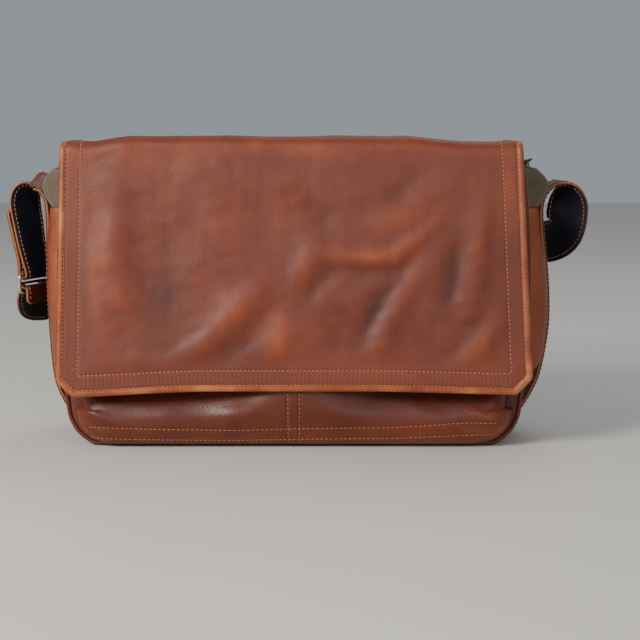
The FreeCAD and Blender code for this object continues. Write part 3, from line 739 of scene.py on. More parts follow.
def edge_strip(name, line, where, replaces):
    """Leather folded over the flap's edge, along a line of (s, x) points with the flap on its left."""
    line = np.array(line)
    t = unit(np.gradient(line, axis=0))
    inward = np.stack([-t[:, 1], t[:, 0]], -1)
    rings, flats, wear_and_painted_light = [], [], []
    along = Path(line).along
    for e, h in BIND_SECTION:
        spot = line + inward * e
        lump = 0.12 * noise(along, along * 0, 10, 4, 14, 21)
        p, n = on(flap, spot[:, 0], spot[:, 1])
        rings.append(p + n * (h + np.sign(h) * lump)[:, None])
        flats.append(np.stack([along, along * 0 + e + h, along * 0], -1))
        rubbed = 0.55 + 0.25 * noise(along, along * 0, 12, 12, 70, 4)
        wear_and_painted_light.append(rubbed + (0.12 if e < 2 else 0) - (0.25 if 5 < e < 5.8 else 0))
    rings, flats, wear_and_painted_light = (np.stack(a, 1) for a in (rings, flats, wear_and_painted_light))
    obj = loops(name, rings, BINDING, flats, wear_and_painted_light.reshape(-1))
    return place(obj, where, "edge_binding", replaces)


H = FLAP_HALF
front_edge = rounded([(MID_S, -H), (FLAP_END - CHAMFER, -H), (FLAP_END, CHAMFER - H), (FLAP_END, H - CHAMFER),
                      (FLAP_END - CHAMFER, H), (MID_S, H)], [9, 9, 9, 9], 1.5)
edge_strip("flap_front_edge_binding", front_edge, FRONT_BEND, ["flap_front_binding"])
edge_strip("flap_back_edge_left", rounded([(2, -H), (MID_S, -H)], [], 2.0), TOP_BEND, ["flap_top_binding"])
edge_strip("flap_back_edge_right", rounded([(MID_S, H), (2, H)], [], 2.0), TOP_BEND, ["flap_top_binding"])

CORNER_ROW = CHAMFER + OUTER_ROW * (math.sqrt(2) - 1) - 0.6
outer_side, outer_low = H - OUTER_ROW, FLAP_END - OUTER_ROW
outer_row = [(MID_S + 1, -outer_side), (FLAP_END - CORNER_ROW, -outer_side), (outer_low, CORNER_ROW - H),
             (outer_low, H - CORNER_ROW), (FLAP_END - CORNER_ROW, outer_side), (MID_S + 1, outer_side)]
inner_side, inner_low = H - INNER_ROW, FLAP_END - INNER_ROW
inner_rows = [[(MID_S + 1, -inner_side), (inner_low, -inner_side)],
              [(inner_low, -inner_side), (inner_low, inner_side)],
              [(inner_low, inner_side), (MID_S + 1, inner_side)]]
runs = [run_on(flap, outer_row, OUTER_LIFT)] + [run_on(flap, row, INNER_LIFT) for row in inner_rows]
place(thread("flap_front_stitches", runs, THREAD), FRONT_BEND)
inside = [(p, -n) for p, n in (run_on(flap, row, -1.75) for row in inner_rows)]
place(thread("flap_inside_stitches", inside, THREAD), FRONT_BEND)
runs = [run_on(flap, [(4, side * row), (MID_S - 1, side * row)], lift)
        for side in (-1, 1) for row, lift in ((outer_side, OUTER_LIFT), (inner_side, INNER_LIFT))]
runs += [run_on(flap, [(k, -inner_side), (k, inner_side)], 1.7) for k in (7, 15)]
place(thread("flap_back_stitches", runs, THREAD), TOP_BEND)


# --- the body ---

RIM_Z = 238.0
SIDE_RADIUS, SIDE_MID, SIDE_CENTRE = 812.0, 140, 609
PANEL_FLAT, PANEL_CORNER = 160, 36


def wall_y(z):
    return 60 - 10 * z / RIM_Z


def half_width(z):
    """The sides are one gentle arc, widest at SIDE_MID."""
    return np.sqrt(SIDE_RADIUS ** 2 - (np.asarray(z, float) - SIDE_MID) ** 2) - SIDE_CENTRE


def corner_width(z, flat, corner, wide):
    """Half width of a panel whose lower corners are round."""
    z = np.asarray(z, float)
    arc = flat + np.sqrt(np.clip(corner ** 2 - (corner - np.clip(z, 0, corner)) ** 2, 0, None))
    return np.where(z < corner, arc, np.minimum(wide(z), arc + (z - corner) * 0.9))


def panel_width(z):
    return corner_width(z, PANEL_FLAT, PANEL_CORNER, half_width)


def panel(sign):
    def S(a, b):
        x, z = (a, b) if sign < 0 else (b, a)
        belly = 2.2 * np.cos(PI * np.clip(x / 200, -1, 1) / 2) * np.sin(PI * np.clip(z / RIM_Z, 0, 1))
        crumple = noise(x, z, 20, 40, 140, 12) * 0.5 * ramp(z, 2, 30)
        tuck = ramp(np.abs(x), panel_width(z) - 5, panel_width(z)) * 1.5
        return np.stack([x, sign * (wall_y(z) - 1.1 + belly + crumple - tuck), z], -1)
    return S


def panel_sheet(name, sign, replaces):
    z = np.concatenate([[1.1], np.linspace(3, 40, 16), np.linspace(44, RIM_Z - 1, 56)])
    u = np.linspace(-1, 1, 110)
    X, Z = u[None] * (panel_width(z) - 1.2)[:, None], np.broadcast_to(z[:, None], (len(z), len(u)))
    P = panel(sign)(X, Z) if sign < 0 else panel(sign)(Z, X)
    wear_and_painted_light = 0.5 + 0.2 * (1 - ramp(Z, 0, 16)) + 0.2 * ramp(Z, 228, 238)
    obj = slab(name, P, -1.1, 1.1, HIDE, flat=chart(X, Z), wear_and_painted_light=wear_and_painted_light, flip=sign < 0)
    return place(obj, "bag", "body_leather", replaces)


panel_sheet("front_leather", -1, ["front_panel"])
panel_sheet("back_leather", 1, ["back_panel"])

foot = [(PANEL_FLAT + PANEL_CORNER * math.sin(a), PANEL_CORNER - PANEL_CORNER * math.cos(a))
        for a in np.linspace(0, 1.44, 12)]
side_line = [(float(half_width(z)), z) for z in np.linspace(44, RIM_Z, 30)]
OUTLINE = [(x, z) for x, z in reversed(foot + side_line)]
OUTLINE = [(-x, z) for x, z in OUTLINE] + [(x, z) for x, z in reversed(OUTLINE)]
for name, sign in (("front", -1), ("back", 1)):
    line = Path(OUTLINE)
    s = np.linspace(0, line.length, 420)
    x, z = line.at(s)
    pts = np.stack([x * 0.997, sign * (wall_y(z) - 0.6), np.maximum(z, 2.2)], -1)
    place(tube("body_piping_" + name, pts, 1.8, HIDE, 10, 0.08), "bag", "piping")

BASE_LINE = Path([p for p in OUTLINE if p[1] <= 44.1])


def base(s, y):
    x, z = BASE_LINE.at(s)
    tx, tz = BASE_LINE.at(s + 1)
    t = unit(np.stack([tx - x, tz - z], -1) + 1e-9)
    inset = 1.1
    return np.stack(np.broadcast_arrays(x - t[..., 1] * inset, y, z + t[..., 0] * inset), -1)


s = np.linspace(0.5, BASE_LINE.length - 1.5, 150)
y = np.linspace(-57, 57, 40)
P = base(s[:, None], y[None])
flat = np.stack(np.broadcast_arrays(s[:, None], y[None], 0.0), -1)
place(slab("base_leather", P, -1.1, 1.1, HIDE, flip=True, flat=flat), "bag", "body_leather", ["base_panel"])


def gusset(sign):
    """Canvas side: pressed in by the strap at the middle, puffed into an ear on each side at the top."""
    def S(y, z):
        wall = wall_y(z) - 0.6
        t = np.clip(np.abs(y) / wall, 0, 1)
        ears = (21 if sign < 0 else 23) * bell(z - 224, 22) * bell(np.abs(y) - 30, 12)
        middle = 12 * ramp(z, 196, 224) * bell(y, 17)
        crease = noise(y, z, 24, 14, 60, 30 + sign) * 1.1 * ramp(z, 190, 215)
        crease = crease + ridges(y, z, SIDE_FOLDS) * ramp(z, 180, 210)
        low = -1.5 * np.cos(PI * t / 2) * ramp(z, 50, 90) * (1 - ramp(z, 170, 200))
        full = 4.0 * ramp(z, 50, 90) * (1 - ramp(z, 150, 215)) * np.cos(PI * t / 2) * (sign > 0)
        out = (ears + middle + crease + low + full) * (1 - t ** 5)
        return np.stack(np.broadcast_arrays(sign * (half_width(z) - 1.1 + out), y, z), -1)
    return S


SIDE_FOLDS = [([(-34, 236), (-26, 222), (-30, 206)], 4, 2.0), ([(-20, 240), (-16, 224), (-22, 208)], 4, -1.8),
              ([(30, 236), (36, 220), (30, 206)], 4, 1.8), ([(16, 238), (20, 222), (18, 208)], 4, -1.6)]


def rim_z(y):
    return RIM_Z + 6 * bell(y, 15)


def rim_x(sign, y):
    return np.abs(gusset(sign)(y, rim_z(y))[..., 0])


for name, sign in (("left", -1), ("right", 1)):
    v = np.linspace(0, 1, 110)
    t = np.linspace(-1, 1, 74)
    T, Vv = np.meshgrid(t, v)
    Y0 = T * (wall_y(44 + 190 * Vv) - 1.6)
    Z = 44 + (rim_z(Y0) - 44) * Vv
    P = gusset(sign)(Y0, Z)
    obj = slab("gusset_canvas_" + name, P, -0.9, 0.9, CANVAS, flip=sign > 0,
               flat=chart(Y0, Z), wear_and_painted_light=0.5 + 0.25 * ramp(Z, 225, 244))
    place(obj, "bag", "canvas", ["gusset_" + name])


# --- pockets ---

POCKET_LINE = Path(smoothed([(-64.5, 178), (-68.4, 148), (-72.2, 118), (-76, 88), (-79.2, 62), (-80.8, 44),
                             (-80, 27), (-76.5, 13), (-69, 3.8), (-60, 1.2)], 6))
POCKET_FOLDS = [([(-186, 40), (-168, 30), (-150, 24)], 4, 1.6),
                ([(-184, 28), (-166, 20), (-150, 15)], 3.5, -1.3),
                ([(-178, 44), (-160, 40), (-140, 40)], 5, 1.3), ([(150, 34), (168, 26), (182, 26)], 5, 1.8),
                ([(140, 22), (160, 18), (178, 14)], 4, -1.4), ([(-20, 44), (-40, 34), (-62, 30)], 8, 1.4),
                ([(20, 40), (44, 30), (80, 28)], 8, 1.0), ([(100, 40), (120, 28), (130, 12)], 7, 0.8),
                ([(-100, 44), (-110, 28), (-104, 12)], 9, 0.8)]
EDGE_TURN = 24.0
POCKET_CORE = 0.86


def pocket_width(z):
    return corner_width(np.maximum(z, 0.6), 157, 33, lambda q: 192 - ((q - 140) / 140) ** 2 * 14)


def pocket(s, u):
    """The front pocket from its mouth down (s) and across (u, -1 to 1): two halves and a flat seam."""
    s, u = np.broadcast_arrays(np.asarray(s, float), np.asarray(u, float))
    y, z = POCKET_LINE.at(s)
    wide = pocket_width(z)
    angle = np.clip((np.abs(u) - POCKET_CORE) / (1 - POCKET_CORE), 0, 1) * PI / 2
    x = np.sign(u) * np.where(angle > 0, wide - EDGE_TURN + EDGE_TURN * np.sin(angle),
                              np.abs(u) / POCKET_CORE * (wide - EDGE_TURN))
    depth = np.cos(angle)
    loose = 1 - bell(np.hypot(np.abs(x) - MAGNET_X, z - MAGNET_Z), 17)
    sag = -12.5 * (1 - bell(x - 4, 62)) * bell(z - 55, 19) * (1 - 0.5 * ramp(np.abs(x), 160, 185))
    forward = 5.0 * bell(x - 2, 40) * bell(z - 52, 26)
    puff = 5.2 * bell(x + 50, 26) * bell(z - 30, 15) + 2.4 * bell(x - 44, 34) * bell(z - 28, 15)
    puff += 2.5 * bell(z - 22, 16) * bell(np.abs(x) - 120, 45)
    folds = ridges(x, z, POCKET_FOLDS) + noise(x, z, 24, 22, 90, 14) * 0.5
    seam = -1.0 * (bell(np.abs(x) - SEAM_X, 1.3)) - 1.4 * ramp(z, 30, 80) * bell(x, 7)
    rows = -0.4 * bell(s - row_s(x, 0), 1.0) - 0.4 * bell(s - row_s(x, 1), 1.0)
    loft = sag + forward + puff * (1 - bell(x, 9)) + folds * ramp(z, 2, 14)
    out = loft * loose * ramp(z, 1, 9) + seam + rows
    back = -57.0 + 3 * (1 - ramp(z, 0, 20))
    y = back + (y - out - back) * depth
    return np.stack([x, y, z], -1)


SEAM_X = 4.8
POCKET_END = POCKET_LINE.length


def row_s(x, which):
    """Where the two stitched rows along the pocket's foot run, rising towards the right."""
    return POCKET_END - (27 if which == 0 else 15.5) - 6.0 * ramp(x, 70, 160) - 1.0 * np.sin(x / 40)


s = np.concatenate([np.linspace(1, POCKET_END - 46, 62), np.linspace(POCKET_END - 45, POCKET_END - 1, 42)])
u = np.concatenate([np.linspace(-1, -0.02, 118), np.linspace(-0.018, 0.018, 15), np.linspace(0.02, 1, 118)])
S2, U2 = grid(s, u)
P = pocket(S2, U2)
Xp, Zp = P[..., 0], P[..., 2]
# Colour patches on the pocket: x, height, two half sizes and a strength. The two darker ones just under the
# flap's edge are the flap's painted shadow; the faint one left of centre is a painted highlight; the lighter
# ones near the foot are painted bounce light from the floor.
POCKET_PAINTED_LIGHT = [(-50, 32, 40, 16, 0.05), (90, 40, 80, 14, -0.14), (110, 16, 60, 12, 0.14),
                (-120, 38, 50, 10, -0.12), (176, 18, 14, 16, 0.2)]
# Pocket colour: lifted near the foot as painted bounce light from the floor, lighter where the ends turn
# back, with the painted patches above; darker along the centre seam and the stitch rows.
wear_and_painted_light = 0.42 + 0.16 * bell(Zp - 8, 10) + 0.14 * ramp(np.abs(Xp), 165, 188) + blobs(Xp, Zp, POCKET_PAINTED_LIGHT)
wear_and_painted_light -= (0.16 * bell(np.abs(Xp) - SEAM_X, 1.2) + 0.12 * bell(S2 - row_s(Xp, 0), 1)
         + 0.12 * bell(S2 - row_s(Xp, 1), 1))
place(slab("front_pocket_leather", P, -2.0, 0.0, POCKET, flat=chart(Xp, S2), wear_and_painted_light=wear_and_painted_light),
      "bag", "pocket_tan", ["front_pocket"])


def pocket_x(s, x):
    """The pocket's surface by its real x."""
    z = POCKET_LINE.at(np.asarray(s, float))[1]
    wide = pocket_width(z)
    flat_part = np.abs(x) / (wide - EDGE_TURN) * POCKET_CORE
    turn = np.arcsin(np.clip((np.abs(x) - wide + EDGE_TURN) / EDGE_TURN, 0, 0.999)) / (PI / 2)
    turned = POCKET_CORE + turn * (1 - POCKET_CORE)
    return pocket(s, np.sign(x) * np.where(np.abs(x) < wide - EDGE_TURN, flat_part, turned))


seams = [on(pocket_x, np.linspace(16, POCKET_END - 8, 160), np.full(160, k), 0.1) for k in (-SEAM_X, SEAM_X)]
xs = np.linspace(-176, 174, 260)
seams += [on(pocket_x, row_s(xs, k), xs, 0.1) for k in (0, 1)]
place(thread("front_pocket_stitches", seams, PALE, pitch=4.0, radius=0.45), "bag")

s, x = grid(np.linspace(0, 13, 10), np.linspace(-176, 176, 150))
place(slab("front_pocket_hem_strip", on(pocket_x, s, x, 0.4)[0], -0.6, 0.8, POCKET, flat=chart(x, s)),
      "bag", "pocket_tan", ["front_pocket_hem"])
place(thread("front_pocket_hem_stitches",
             [on(pocket_x, k, np.linspace(-172, 172, 120), 1.3) for k in (3.2, 10.8)], PALE),
      "bag")


def side_pocket(sign):
    def S(y, z):
        y, z = np.broadcast_arrays(np.asarray(y, float), np.asarray(z, float))
        t = np.clip(np.abs(y) / 42.0, 0, 1)
        body = np.sqrt(np.clip(1 - t ** 6, 0, 1))
        foot = ramp(z, 54, 70)
        puff = 2.6 * bell(np.abs(y) - 28, 12) * bell(z - 150, 70) + noise(y, z, 20, 18, 70, 40 + sign) * 0.5
        full = 6.5 * bell(z - 100, 62) * (sign > 0)
        out = -0.2 + (10.0 + puff + full) * body * (0.25 + 0.75 * foot)
        return np.stack([sign * (half_width(z) + out), y, z], -1)
    return S


for name, sign in (("left", -1), ("right", 1)):
    S = side_pocket(sign)
    theta = np.linspace(-1, 1, 70)
    yy = 42.0 * np.sin(theta * PI / 2)
    z = np.concatenate([np.linspace(55, 72, 14), np.linspace(74, 204, 66)])
    Z, Y0 = grid(z, yy)
    P = S(Y0, Z)
    wear_and_painted_light = 0.45 + 0.25 * ramp(np.abs(Y0), 34, 42) + 0.15 * ramp(Z, 196, 205)
    place(slab("side_pocket_leather_" + name, P, -2.0, 0.0, TAN, flat=chart(Y0, Z), wear_and_painted_light=wear_and_painted_light, flip=sign < 0),
          "bag", "pocket_tan", ["side_pocket_" + name])
    Z, Y0 = grid(np.linspace(191, 205, 10), 41.0 * np.sin(np.linspace(-0.94, 0.94, 60) * PI / 2))
    P = S(Y0, Z) + np.array([sign * 0.5, 0, 0])
    place(slab("side_pocket_hem_strip_" + name, P, -0.4, 0.7, TAN, flip=sign < 0, flat=chart(Y0, Z)),
          "bag", "pocket_tan", ["side_pocket_hem_" + name])
    runs = []
    for k, h in ((202, 1.3), (194, 1.3), (186, 0.1)):
        yy = 41.0 * np.sin(np.linspace(-0.9, 0.9, 80) * PI / 2)
        p = S(yy, yy * 0 + k)
        n = unit(np.stack([yy * 0 + sign * 1.0, (yy / 42.0) ** 5 * 1.4, yy * 0], -1))
        runs.append((p + n * h, n))
    for k in (-1, 1):
        zz = np.linspace(60, 188, 70)
        p, n = S(zz * 0 + k * 39.6, zz), np.array([[sign * 0.6, k * 0.8, 0.0]] * 70)
        runs.append((p + unit(n) * 0.2, unit(n)))
    place(thread("side_pocket_stitches_" + name, runs, PALE), "bag")


def back_pocket(z, x):
    z, x = np.broadcast_arrays(np.asarray(z, float), np.asarray(x, float))
    edge = np.minimum(np.minimum(172 - np.abs(x), z - 30) / 12, 1)
    body = np.sqrt(np.clip(1 - (1 - np.clip(edge, 0, 1)) ** 2, 0, 1))
    sag = 1.6 * bell(x, 90) * ramp(z, 150, 190) + 1.2 * np.cos(PI * x / 344) * bell(z - 100, 60)
    crumple = noise(x, z, 22, 26, 110, 50) * 0.7
    y = wall_y(z) + 0.8 + (10.6 + sag + crumple) * body
    return np.stack([x, y, z], -1)


z = np.concatenate([30 + 12 * (1 - np.cos(np.linspace(0, PI / 2, 10))), np.linspace(44, 189, 70)])
x = np.concatenate([-172 + 14 * (1 - np.cos(np.linspace(0, PI / 2, 10))), np.linspace(-156, 156, 110),
                    172 - 14 * (1 - np.cos(np.linspace(PI / 2, 0, 10)))])
Z, X = grid(z, x)
P = back_pocket(Z, X)
wear_and_painted_light = 0.5 + 0.2 * ramp(np.abs(X), 160, 172) + 0.15 * (1 - ramp(Z, 30, 44)) + 0.1 * ramp(Z, 182, 190)
place(slab("back_pocket_leather", P, -2.0, 0.0, HIDE, flat=chart(X, Z), wear_and_painted_light=wear_and_painted_light),
      "bag", "body_leather", ["back_pocket"])
Z, X = grid(np.linspace(175, 190, 10), np.linspace(-166, 166, 120))
place(slab("back_pocket_hem_strip", back_pocket(Z, X) + np.array([0, 0.5, 0]), -0.4, 0.8, HIDE,
           flat=chart(X, Z)), "bag", "body_leather", ["back_pocket_hem"])
runs = [on(back_pocket, k, np.linspace(-164, 164, 100), 1.4) for k in (178, 187)]
runs += [on(back_pocket, np.linspace(38, 172, 60), np.full(60, k), 0.1) for k in (-160, 160)]
runs += [on(back_pocket, 41, np.linspace(-160, 160, 100), 0.1)]
place(thread("back_pocket_stitches", runs, PALE), "bag")


# --- the zip across the mouth ---

LID_Z = 231.0
LID_HALF = 160.0
LID_FAR = 44.4


def lid(sign):
    def S(x, y):
        wave = 0.35 * noise(x, y, 14, 30, 120, 60 + sign) * ramp(np.abs(y), 2, 10)
        return np.stack(np.broadcast_arrays(x, sign * y, LID_Z + wave), -1)
    return S


def teeth(name, x0, x1, sign, body, replaces):
    """Brass teeth clasping the tape's edge, one every 2.6 mm."""
    verts, faces = [], []
    section = [(0.55, -0.95), (3.2, -0.75), (3.4, 0), (3.2, 0.75), (0.55, 0.95), (0.35, 0)]
    offset = 0.0 if sign > 0 else 1.3
    for k in range(int((x1 - x0 - 1.4) / 2.6)):
        x = x0 + 0.9 + offset * 0.5 + k * 2.6
        start = len(verts)
        for dz, scale in ((-0.9, 0.8), (-0.6, 1.0), (0.6, 1.0), (0.9, 0.8)):
            for y, w in section:
                verts.append((x + w * 0.8 * scale, sign * (1.9 + (y - 1.9) * scale), LID_Z + 0.1 + dz))
        m = len(section)
        for r in range(3):
            for j in range(m):
                a, b = start + r * m + j, start + r * m + (j + 1) % m
                faces.append((a, b, b + m, a + m) if sign < 0 else (a, a + m, b + m, b))
        top, bottom = [start + 3 * m + j for j in range(m)], [start + j for j in range(m)][::-1]
        faces += [top, bottom] if sign < 0 else [top[::-1], bottom[::-1]]
    obj = make(name, verts, faces, TEETH, smooth=False)
    return place(obj, body, "zip_metal", replaces)


for name, sign in (("front", -1), ("back", 1)):
    body = "zip_lid_" + name
    S = lid(sign)
    X, Y = grid(np.linspace(-159, 159, 130), np.linspace(11, LID_FAR - 1, 20))
    flat = chart(X, Y)
    canvas = slab("zip_lid_canvas_" + name, S(X, Y), -0.8, 0.8, CANVAS, flat=flat, flip=sign < 0)
    place(canvas, body, "canvas", ["zip_lid_" + name])
    X, Y = grid(np.linspace(-159.5, 159.5, 110), np.linspace(1.4, 18.4, 10))
    tape = slab("zip_tape_cloth_" + name, S(X, Y) - np.array([0, 0, 1.25]), -0.35, 0.35, TAPE,
                flat=chart(X, Y), flip=sign < 0)
    place(tape, body, "zip_tape", ["zip_tape_" + name])
    teeth("zip_teeth_run_" + name, -LID_HALF, LID_HALF, sign, body, ["zip_teeth_" + name])
    xs = np.linspace(-157, 157, 120)
    runs = [(S(xs, xs * 0 + k) + np.array([0, 0, 0.95]), np.tile([0, 0, 1.0], (120, 1)))
            for k in (13.2, 40.5)]
    place(thread("zip_lid_stitches_" + name, runs, PALE, pitch=3.2), body)
    xs = np.linspace(-190, 190, 260)
    pts = np.stack([xs, sign * (46.6 + 0.25 * noise(xs, xs * 0, 8, 40, 150, 70)),
                    LID_Z + 0.2 * noise(xs, xs * 0, 8, 30, 120, 71)], -1)
    place(tube("mouth_piping_roll_" + name, pts, 1.5, TAN, 10, 0.06), "bag", "piping",
          ["mouth_piping_" + name])

for name, sign in (("left", -1), ("right", 1)):
    t, v = grid(np.linspace(-1, 1, 60), np.concatenate([np.linspace(0, 0.5, 12), np.linspace(0.53, 1, 20)]))
    reach = rim_x(sign, t * 45.5) - 1.2
    x = 161 + (reach - 161) * v
    y = t * (LID_FAR - 0.8 + 2.4 * ramp(x, 185, 198))
    up = ramp(x, 186, reach + 4)
    z = LID_Z + (rim_z(y) - 0.6 - LID_Z) * up - 5.6 * (1 - ramp(np.abs(y), 9, 13)) * (1 - ramp(x, 186, 194))
    z = z + noise(x, y, 16, 14, 50, 80 + sign) * 0.8 * ramp(x, 188, 204)
    P = np.stack([sign * x, y, z], -1)
    end = slab("zip_end_canvas_" + name, P, -0.8, 0.8, CANVAS, flip=sign > 0, flat=chart(x, y))
    place(end, "bag", "canvas", ["zip_end_panels"])
    for k in (-1, 1):
        X, Y = grid(np.linspace(161.5, 186, 16), np.linspace(1.2, 14, 8))
        P = np.stack([sign * X, k * Y, X * 0 + LID_Z - 1.25], -1)
        tape = slab("zip_end_tape_%s_%d" % (name, k + 2), P, -0.35, 0.35, TAPE, flip=sign * k < 0,
                    flat=chart(X, Y))
        place(tape, "bag", "zip_tape", ["zip_end_tapes"])
        a, b = sorted((sign * 161.0, sign * 185.0))
        teeth("zip_end_teeth_%s_%d" % (name, k + 2), a, b, k, "bag", ["zip_end_teeth"])

TAB_LINE = Path(smoothed([(186.5, 232), (190, 232.6), (193, 235.6), (196.5, 239.4), (203, 243),
                          (210.5, 246.2)], 5))


def tail_tab(s, y):
    x, z = TAB_LINE.at(s)
    return np.stack(np.broadcast_arrays(x, y, z + 0.3 * bell(y, 5)), -1)


s = np.linspace(1, TAB_LINE.length - 1, 34)
tip = np.sqrt(np.clip(16 - (s - TAB_LINE.length + 5) ** 2, 0, None))
half = np.where(s > TAB_LINE.length - 5, 1.8 + tip, 5.8)
Y = np.linspace(-1, 1, 14)[None] * half[:, None]
Sg = np.broadcast_to(s[:, None], Y.shape)
place(slab("zip_tail_leather", tail_tab(Sg, Y), -0.85, 0.85, DARK, flat=chart(Sg, Y), wear_and_painted_light=0.3 + Y * 0),
      "bag", "tab_leather", ["zip_tail_tab"])
runs = [on(tail_tab, np.linspace(3, TAB_LINE.length - 4, 30), np.full(30, k), 0.95) for k in (-4.3, 4.3)]
place(thread("zip_tail_stitches", runs, BLACK, pitch=3.0, radius=0.36), "bag")

low, high = box_mm("zip_pull_tab")
xs = np.linspace(low[0] + 1, high[0] - 1, 18)
half = np.where(xs < low[0] + 4, 0.4 + np.sqrt(np.clip(9 - (low[0] + 4 - xs) ** 2, 0, None)), 3.4)
Y = np.linspace(-1, 1, 10)[None] * half[:, None]
P = np.stack([np.broadcast_to(xs[:, None], Y.shape), Y,
              np.full(Y.shape, (low[2] + high[2]) / 2) + 0.2 * np.cos(Y / 2.6)], -1)
place(slab("zip_pull_leather", P, -1.2, 1.2, TAN), "zip_pull", "tab_leather", ["zip_pull_tab"])
ys = np.array([-2.5, 2.5])
runs = [(np.stack([xs[2:], xs[2:] * 0 + k, xs[2:] * 0 + P[0, 0, 2] + 1.35], -1),
         np.tile([0, 0, 1.0], (len(xs) - 2, 1))) for k in ys]
place(thread("zip_pull_stitches", runs, PALE, pitch=2.6, radius=0.3), "zip_pull")


# --- the padded camera insert ---

SWELL_FRAMES = 16
PAD_FILL, PAD_SHRINK, PAD_VOXEL = 0.7, 1.3, 0.0045


def inflate(obj, cap):
    """Swells a closed pad by a short cloth simulation, keeping each point within cap of where it began."""
    start = np.array([v.co for v in obj.data.vertices])
    cloth = obj.modifiers.new("swell", "CLOTH")
    cloth.settings.use_pressure = True
    cloth.settings.uniform_pressure_force = 4.0
    cloth.settings.effector_weights.gravity = 0.0
    cloth.settings.quality = 4
    cloth.settings.tension_stiffness = 12
    cloth.settings.bending_stiffness = 1.2
    cloth.point_cache.frame_start = 1
    cloth.point_cache.frame_end = SWELL_FRAMES
    scene = bpy.context.scene
    for f in range(1, SWELL_FRAMES + 1):
        scene.frame_set(f)
    graph = bpy.context.evaluated_depsgraph_get()
    done = bpy.data.meshes.new_from_object(obj.evaluated_get(graph))
    moved = np.array([v.co for v in done.vertices])
    obj.modifiers.remove(cloth)
    bpy.data.meshes.remove(done)
    scene.frame_set(1)
    step = moved - start
    size = np.linalg.norm(step, axis=1, keepdims=True)
    step *= np.minimum(1, cap / np.maximum(size, 1e-9))
    obj.data.vertices.foreach_set("co", (start + step).astype(np.float32).ravel())
    obj.data.update()


def pad(node, body):
    """A foam board in cloth: rounded, slightly crowned between its bound edges."""
    low, high = box_mm(node)
    low, high = low + PAD_SHRINK, high - PAD_SHRINK
    size = high - low
    parts = [np.linspace(low[k], high[k], max(2, int(size[k] / 6)) + 1) for k in range(3)]
    verts, faces = [], []
    for k in range(3):
        a, b = [j for j in range(3) if j != k]
        A, B = grid(parts[a], parts[b])
        for level, turn in ((low[k], (k != 1)), (high[k], (k == 1))):
            V = np.zeros(A.shape + (3,))
            V[..., a], V[..., b], V[..., k] = A, B, level
            idx = np.arange(A.size).reshape(A.shape) + sum(len(v) for v in verts)
            q = np.stack([idx[:-1, :-1], idx[1:, :-1], idx[1:, 1:], idx[:-1, 1:]], -1).reshape(-1, 4)
            verts.append(V.reshape(-1, 3))
            faces.append(q[:, ::-1] if turn else q)
    obj = make("pad_" + node, np.concatenate(verts), np.concatenate(faces), PAD)
    bpy.context.view_layer.objects.active = obj
    obj.select_set(True)
    weld = obj.modifiers.new("weld", "WELD")
    weld.merge_threshold = 0.0002
    remesh = obj.modifiers.new("voxels", "REMESH")
    remesh.mode = "VOXEL"
    remesh.voxel_size = PAD_VOXEL
    for modifier in ("weld", "voxels"):
        bpy.ops.object.modifier_apply(modifier=modifier)
    inflate(obj, 0.0012)
    soft = obj.modifiers.new("soft", "SUBSURF")
    soft.levels = soft.render_levels = 1
    bpy.ops.object.modifier_apply(modifier="soft")
    obj.select_set(False)
    co = np.array([v.co for v in obj.data.vertices])
    thin = int(np.argmin(size))
    a, b = [j for j in range(3) if j != thin]
    for existing in ("flat", "wear_and_painted_light"):
        if existing in obj.data.attributes:
            obj.data.attributes.remove(obj.data.attributes[existing])
    dress(obj.data, np.stack([co[:, a], co[:, b], co[:, thin]], -1), np.full(len(co), 0.45))
    obj.data.polygons.foreach_set("use_smooth", [True] * len(obj.data.polygons))
    place(obj, body, "insert_fabric", [node])
    return low - PAD_SHRINK, high + PAD_SHRINK


for node in ("insert_floor", "insert_front_wall", "insert_back_wall", "insert_left_wall",
             "insert_right_wall"):
    pad(node, "bag")
for node in ("divider_left", "divider_right"):
    low, high = pad(node, node)
    x, y0, y1, z1 = (low[0] + high[0]) / 2, low[1] + 3, high[1] - 3, high[2] - 0.9
    line = rounded([(y0 - 1.4, low[2] + 4), (y0 - 1.4, z1), (y1 + 1.4, z1), (y1 + 1.4, low[2] + 4)], [6, 6],
                   2.0)
    place(tube(node + "_binding", np.stack([line[:, 0] * 0 + x, line[:, 0], line[:, 1]], -1), 1.7, EDGE, 8),
          node,
          "insert_fabric")

INSERT_X, INSERT_Y, INSERT_TOP = 174.0, 49.0, 190.0
rim = rounded([(0, -INSERT_Y + 4), (INSERT_X - 4, -INSERT_Y + 4), (INSERT_X - 4, INSERT_Y - 4),
               (4 - INSERT_X, INSERT_Y - 4),
               (4 - INSERT_X, 4 - INSERT_Y), (-0.5, 4 - INSERT_Y)], [8, 8, 8, 8], 3.0)
place(tube("insert_rim_binding", np.stack([rim[:, 0], rim[:, 1], rim[:, 0] * 0 + INSERT_TOP - 1.2], -1), 2.2,
           EDGE, 8),
      "bag", "insert_fabric")


# --- the strap ---

STRAP_W, STRAP_T, STRAP_SPLIT = 38.0, 3.4, 1.2
STRAP_STEPS = 6
TIP_R = 6


def frames(points, widths, steps):
    C, W = smoothed(points, steps), smoothed(widths, steps)
    t = unit(np.gradient(C, axis=0))
    A = unit(W - t * (W * t).sum(-1, keepdims=True))
    return C, A, np.cross(t, A)


